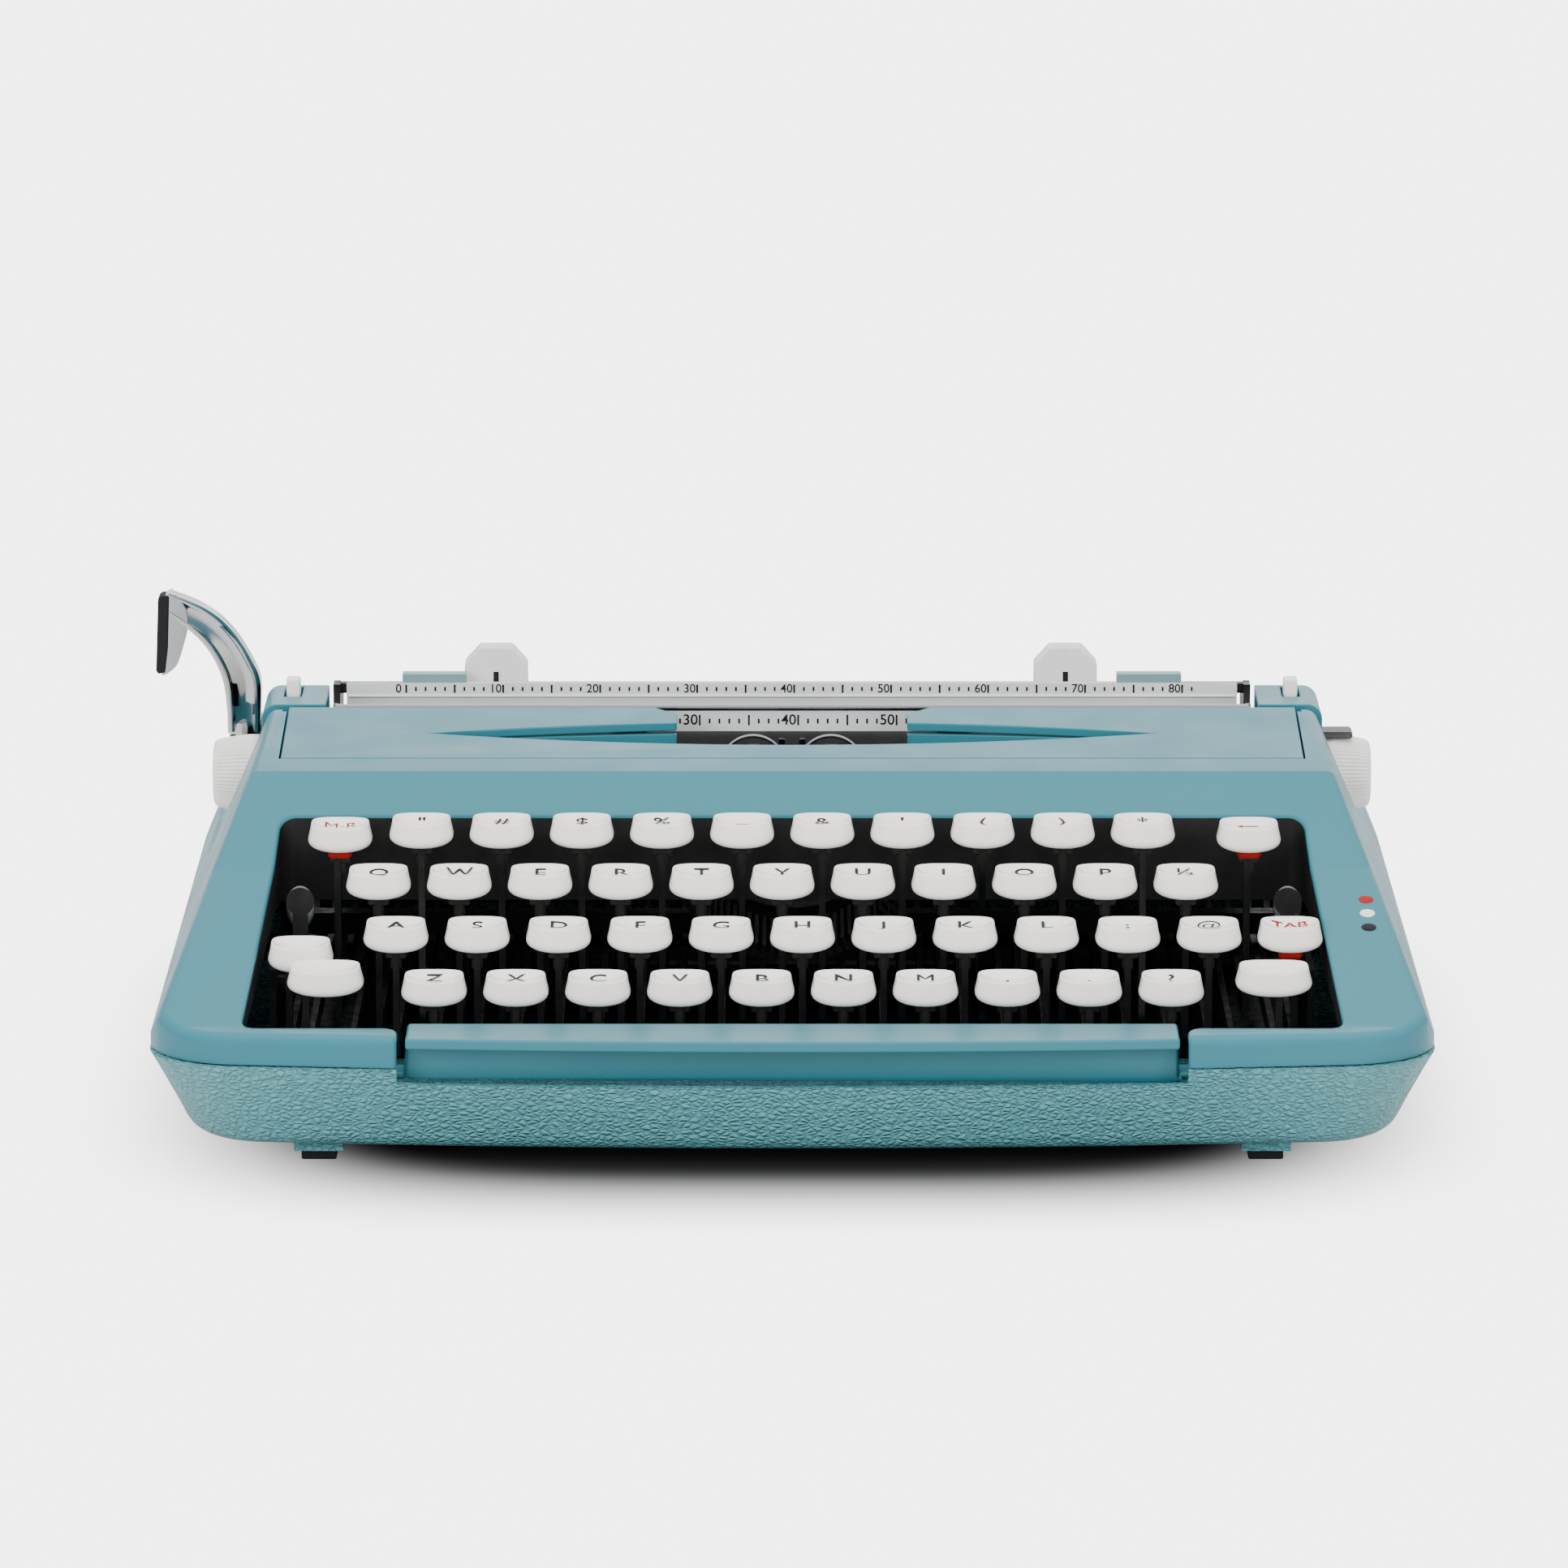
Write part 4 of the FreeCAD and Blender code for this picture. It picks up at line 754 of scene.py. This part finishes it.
def build_bail():
    node = "paper_bail"
    low, high = box_mm(node)
    bm = cad_bmesh(node)
    face_y = front_of(bm)
    for face in bm.faces:
        middle = face.calc_center_median()
        face.material_index = int(middle.y > low.y + 2.2 and abs(middle.x) < 60.0)
    piece("bail_frame", finished("bail_frame", bm), node, ("scale", "platen"), (node,))
    lip = bmesh.new()
    edge_y, edge_z = low.y + 0.5, high.z - 0.35
    add_tube(lip, [(low.x + 2.6, edge_y, edge_z), (high.x - 2.6, edge_y, edge_z)], 0.95, 20)
    piece("bail_lip", finished("bail_lip", lip), node, ("chrome",))
    middle_x = (low.x + high.x) / 2
    foot = high.z - 6.4
    scale_marks("bail_scale", node, middle_x - 100.0, PICA, 84, face_y,
                ((foot + 2.0, foot + 3.3), (foot + 1.5, foot + 4.3)), foot + 2.9, 3.9)


def build_paper_table():
    """The margin scale's plate, with its folded edge, its marks and the two painted ears."""
    node = "paper_table"
    high = box_mm(node)[1]
    bm = cad_bmesh(node)
    face_y = front_of(bm)
    for face in bm.faces:
        middle = face.calc_center_median()
        is_ear = middle.z > high.z - 3.9 or middle.y > high.y - 1.6
        face.material_index = int(is_ear and abs(middle.x) > 80.0)
    plate = piece("table_plate", finished("table_plate", bm), "carriage", ("scale", "ear"),
                  (node,))
    bevelled(plate, 0.3, 2)
    top = high.z - 2.4
    fold = bmesh.new()
    reach = high.x - 0.6
    add_tube(fold, [(side * reach, face_y(top - 3.5) - 0.1, top - 3.5) for side in (-1.0, 1.0)], 0.42)
    piece("table_fold", finished("table_fold", fold), "carriage", ("scale",))
    scale_marks("margin_scale", "carriage", -101.0, PICA, 81, face_y,
                ((top - 2.2, top - 1.1), (top - 2.7, top - 0.5)), top - 1.6, 3.2)


def build_margin_stops():
    for side in ("left", "right"):
        node = "margin_stop_" + side
        low, high = box_mm(node)
        stop = cad_piece("stop_" + side, node, node, ("stop",))
        bevelled(stop, 0.6, 3)
        middle = (low.x + high.x) / 2
        bm = bmesh.new()
        add_box(bm, (middle - 0.7, low.y - 0.08, high.z - 9.6), (middle + 0.7, low.y + 0.5, high.z - 6.6))
        piece("stop_index_" + side, finished("stop_index_" + side, bm), node, ("legend",))


def build_knobs():
    node = "platen_knobs"
    low, high = box_mm(node)
    centre = Vector((0.0, (low.y + high.y) / 2, (low.z + high.z) / 2))
    bm = bmesh.new()
    for side in (-1.0, 1.0):
        start, end = side * (high.x - 12.2), side * high.x
        rings = [(start, 3.2), (start, 9.6), (start + side * 0.6, 10.1), (start + side * 3.0, 10.1),
                 (end - side * 4.0, 9.5), (end - side * 1.4, 8.9), (end - side * 0.4, 8.3), (end, 7.2),
                 (end, 3.2)]
        add_turned(bm, rings, "X", centre, around=120, ribs=60, rib_depth=0.35)
    piece("knob_pair", finished("knob_pair", bm, 60.0), "platen", ("knob",), (node,))
    cad_piece("platen_roller", "platen", "platen", ("platen",))


def build_carriage():
    cad_piece("carriage", "carriage_frame", "carriage", ("mechanism",))
    covers = cad_piece("end_covers", "carriage_end_covers", "carriage", ("smooth",))
    bevelled(covers, 0.5, 3)
    for node in ("line_space_lever", "release_lever"):
        bevelled(cad_piece("nub_" + node, node, node, ("knob",)), 1.1, 4)
    low, high = box_mm("carriage_end_covers")
    bm = bmesh.new()
    add_box(bm, (high.x - 0.6, low.y + 12.0, low.z + 4.6), (high.x + 8.6, low.y + 20.0, low.z + 6.4))
    bmesh.ops.bevel(bm, geom=bm.edges[:], offset=0.35, segments=2, affect="EDGES")
    piece("release_plate", finished("release_plate", bm), "carriage", ("tarnished",))


def build_return_lever():
    """A polished arm that rises, hooks over to the left and ends in a broad tip with a grip."""
    node = "return_lever"
    low, high = box_mm(node)
    right, base, pivot_y = high.x, low.z, high.y - 4.6
    lean = math.tan(math.radians(PIN_TILT))

    def leaning(x, z, forward=0.0):
        return Vector((x, pivot_y - (z - base) * lean - forward, z))

    outer = spline([(right + x, base + z, 0.0) for x, z in (
        (-0.6, 1.0), (0.0, 9.0), (0.1, 16.6), (-1.9, 22.4), (-4.9, 28.5), (-8.6, 33.6), (-13.2, 37.6),
        (-18.0, 40.2), (-22.6, 42.0))])
    inner = spline([(right + x, base + z, 0.0) for x, z in (
        (-8.8, 1.0), (-8.9, 9.0), (-9.5, 15.6), (-11.0, 21.0), (-13.0, 25.2), (-15.2, 28.4), (-17.6, 31.0),
        (-20.0, 33.2), (-22.4, 35.4))])
    channel = ((0.0, 3.2), (0.06, 3.5), (0.16, 3.5), (0.24, 2.6), (0.5, 2.2), (0.76, 2.6), (0.84, 3.5),
               (0.94, 3.5), (1.0, 3.2), (1.0, -2.6), (0.93, -3.3), (0.5, -3.5), (0.07, -3.3), (0.0, -2.6))
    bm = bmesh.new()
    rings = []
    for start, end in zip(outer, inner):
        ring = []
        for across, forward in channel:
            point = start.lerp(end, across)
            ring.append(leaning(point.x, point.y, forward))
        rings.append(ring)
    add_loft(bm, rings)
    hub = ((0.0, 4.4), (0.4, 4.6), (5.4, 4.6), (6.0, 4.1))
    add_turned(bm, hub, "Z", (right - 4.6, pivot_y, base), around=40)
    tip = spline([(right + x, base + z, 0.0) for x, z in (
        (-22.0, 42.1), (-18.6, 38.0), (-18.2, 31.6), (-19.6, 26.0), (-21.2, 21.2), (-23.6, 18.6),
        (-25.6, 17.6))], 6)
    back = [Vector((right - 25.2, base + 17.8, 0.0)), Vector((right - 23.4, base + 41.4, 0.0))]
    add_loft(bm, [[leaning(p.x, p.y, side) for p in tip + back] for side in (3.3, 2.9, -2.9, -3.3)])
    piece("return_arm", finished("return_arm", bm, 40.0), node, ("chrome",), (node,))
    bm = bmesh.new()
    grip = [(right + x, base + z) for x, z in (
        (-25.4, 40.6), (-24.4, 41.2), (-22.4, 41.2), (-23.4, 26.0),
        (-24.5, 18.6), (-26.4, 18.2), (-26.9, 19.2))]
    add_loft(bm, [[leaning(x, z, side) for x, z in grip] for side in (3.7, -3.7)])
    bevelled(piece("return_grip", finished("return_grip", bm), node, ("rubber",)), 0.5)


# ---------------------------------------------------------------- floor, light and camera

# name, place in metres, side of the square in metres, watts
LAMPS = (("overhead", (0.0, -0.1, 1.9), 1.6, 38.0),
         ("front_left", (-1.5, -2.2, 0.9), 1.2, 54.0),
         ("front_right", (1.6, -2.2, 0.8), 1.2, 36.0),
         ("back_low", (0.2, 2.4, 0.75), 1.8, 10.0))
LAMP_AIM = (0.0, 0.0, 0.05)
FLOOR_HALF = 12.0
# Half-axes in metres and fade range of the painted shadow oval on the floor.
SHADE_HALF_X = 0.160
SHADE_HALF_Y = 0.166
SHADE_FROM = 0.48
SHADE_TO = 1.42
FLOOR_GLOW = 4.9
GLOW_ON_OBJECT = 0.3
CAMERA_RAISED = 12.0
CAMERA_AWAY = 2.3
CAMERA_LENS = 213.6


def build_stage():
    """The floor, the surroundings and four lamps, of which only the back one shows in gloss."""
    floor_mesh = bpy.data.meshes.new("floor")
    bm = bmesh.new()
    bmesh.ops.create_grid(bm, x_segments=1, y_segments=1, size=FLOOR_HALF)
    bm.to_mesh(floor_mesh)
    bm.free()
    floor = bpy.data.objects.new("floor", floor_mesh)
    bpy.context.scene.collection.objects.link(floor)
    floor_mesh.materials.append(floor_material())
    bpy.context.scene.world = studio_world()
    for name, place, size, power in LAMPS:
        light = bpy.data.lights.new(name, "AREA")
        light.size = size
        light.energy = power
        lamp = bpy.data.objects.new(name, light)
        lamp.location = place
        lamp.visible_glossy = name.startswith("back")
        lamp.rotation_mode = "QUATERNION"
        lamp.rotation_quaternion = (Vector(place) - Vector(LAMP_AIM)).to_track_quat("Z", "Y")
        bpy.context.scene.collection.objects.link(lamp)


def floor_material():
    """Pale floor that glows away from the machine and lights it a little; the dark oval round the machine,
    where the glow fades out, is a painted shadow.

    Light Path tells the floor's first sight from its bounced light, so that a floor bright
    enough to look white doesn't wash out the object.
    """
    mat = new_material("floor_painted_shadow", (0.04, 0.04, 0.04), 0.9)
    shader = shader_of(mat)
    shader.inputs["Specular IOR Level"].default_value = 0.05
    nodes, links = mat.node_tree.nodes, mat.node_tree.links
    square = nodes.new("ShaderNodeVectorMath")
    square.operation = "MULTIPLY"
    length = nodes.new("ShaderNodeVectorMath")
    length.operation = "LENGTH"
    place = coordinates(mat, (1.0 / SHADE_HALF_X, 1.0 / SHADE_HALF_Y, 1.0))
    links.new(place, square.inputs[0])
    links.new(place, square.inputs[1])
    links.new(square.outputs["Vector"], length.inputs[0])
    # Painted shadow: the glow is zero in an oval round the machine and rises to full beyond it, leaving the
    # dark floor base there.
    glow = nodes.new("ShaderNodeMapRange")
    glow.interpolation_type = "SMOOTHERSTEP"
    glow.inputs["From Min"].default_value = SHADE_FROM
    glow.inputs["From Max"].default_value = SHADE_TO
    glow.inputs["To Min"].default_value = 0.0
    glow.inputs["To Max"].default_value = FLOOR_GLOW
    links.new(length.outputs["Value"], glow.inputs["Value"])
    shader.inputs["Emission Color"].default_value = (1.0, 1.0, 1.0, 1.0)
    seen = nodes.new("ShaderNodeLightPath")
    share = nodes.new("ShaderNodeMapRange")
    share.inputs["To Min"].default_value = GLOW_ON_OBJECT
    share.inputs["To Max"].default_value = 1.0
    links.new(seen.outputs["Is Camera Ray"], share.inputs["Value"])
    strength = nodes.new("ShaderNodeMath")
    strength.operation = "MULTIPLY"
    links.new(glow.outputs["Result"], strength.inputs[0])
    links.new(share.outputs["Result"], strength.inputs[1])
    links.new(strength.outputs["Value"], shader.inputs["Emission Strength"])
    return mat


def studio_world():
    """White surroundings, brighter above and behind than in front."""
    world = bpy.data.worlds.new("studio")
    world.use_nodes = True
    nodes, links = world.node_tree.nodes, world.node_tree.links
    background = nodes["Background"]
    coords = nodes.new("ShaderNodeTexCoord")
    slope = nodes.new("ShaderNodeVectorMath")
    slope.operation = "DOT_PRODUCT"
    slope.inputs[1].default_value = (0.0, 0.45, 0.8)
    links.new(coords.outputs["Generated"], slope.inputs[0])
    strength = nodes.new("ShaderNodeMapRange")
    strength.inputs["From Min"].default_value = -0.5
    strength.inputs["From Max"].default_value = 0.9
    strength.inputs["To Min"].default_value = 0.35
    strength.inputs["To Max"].default_value = 1.35
    links.new(slope.outputs["Value"], strength.inputs["Value"])
    background.inputs["Color"].default_value = (1.0, 1.0, 1.0, 1.0)
    links.new(strength.outputs["Result"], background.inputs["Strength"])
    return world


def build_camera():
    """A long lens in front of the machine, a little above it."""
    low, high = CAD_LOW, CAD_HIGH
    aim = Vector(((low.x + high.x) / 2, low.y + 0.074, high.z - 0.0257))
    camera = bpy.data.cameras.new("camera")
    camera.sensor_width = 36.0
    camera.lens = CAMERA_LENS
    holder = bpy.data.objects.new("camera", camera)
    turn = math.radians(CAMERA_RAISED)
    away = Vector((0.0, -math.cos(turn), math.sin(turn)))
    holder.location = aim + away * CAMERA_AWAY
    holder.rotation_mode = "QUATERNION"
    holder.rotation_quaternion = away.to_track_quat("Z", "Y")
    bpy.context.scene.collection.objects.link(holder)
    bpy.context.scene.camera = holder


build_case()
build_space_bar()
build_letter_keys()
build_number_keys()
build_control_keys()
build_shift_keys()
build_mechanism()
build_bail()
build_paper_table()
build_margin_stops()
build_knobs()
build_carriage()
build_return_lever()
build_stage()
build_camera()
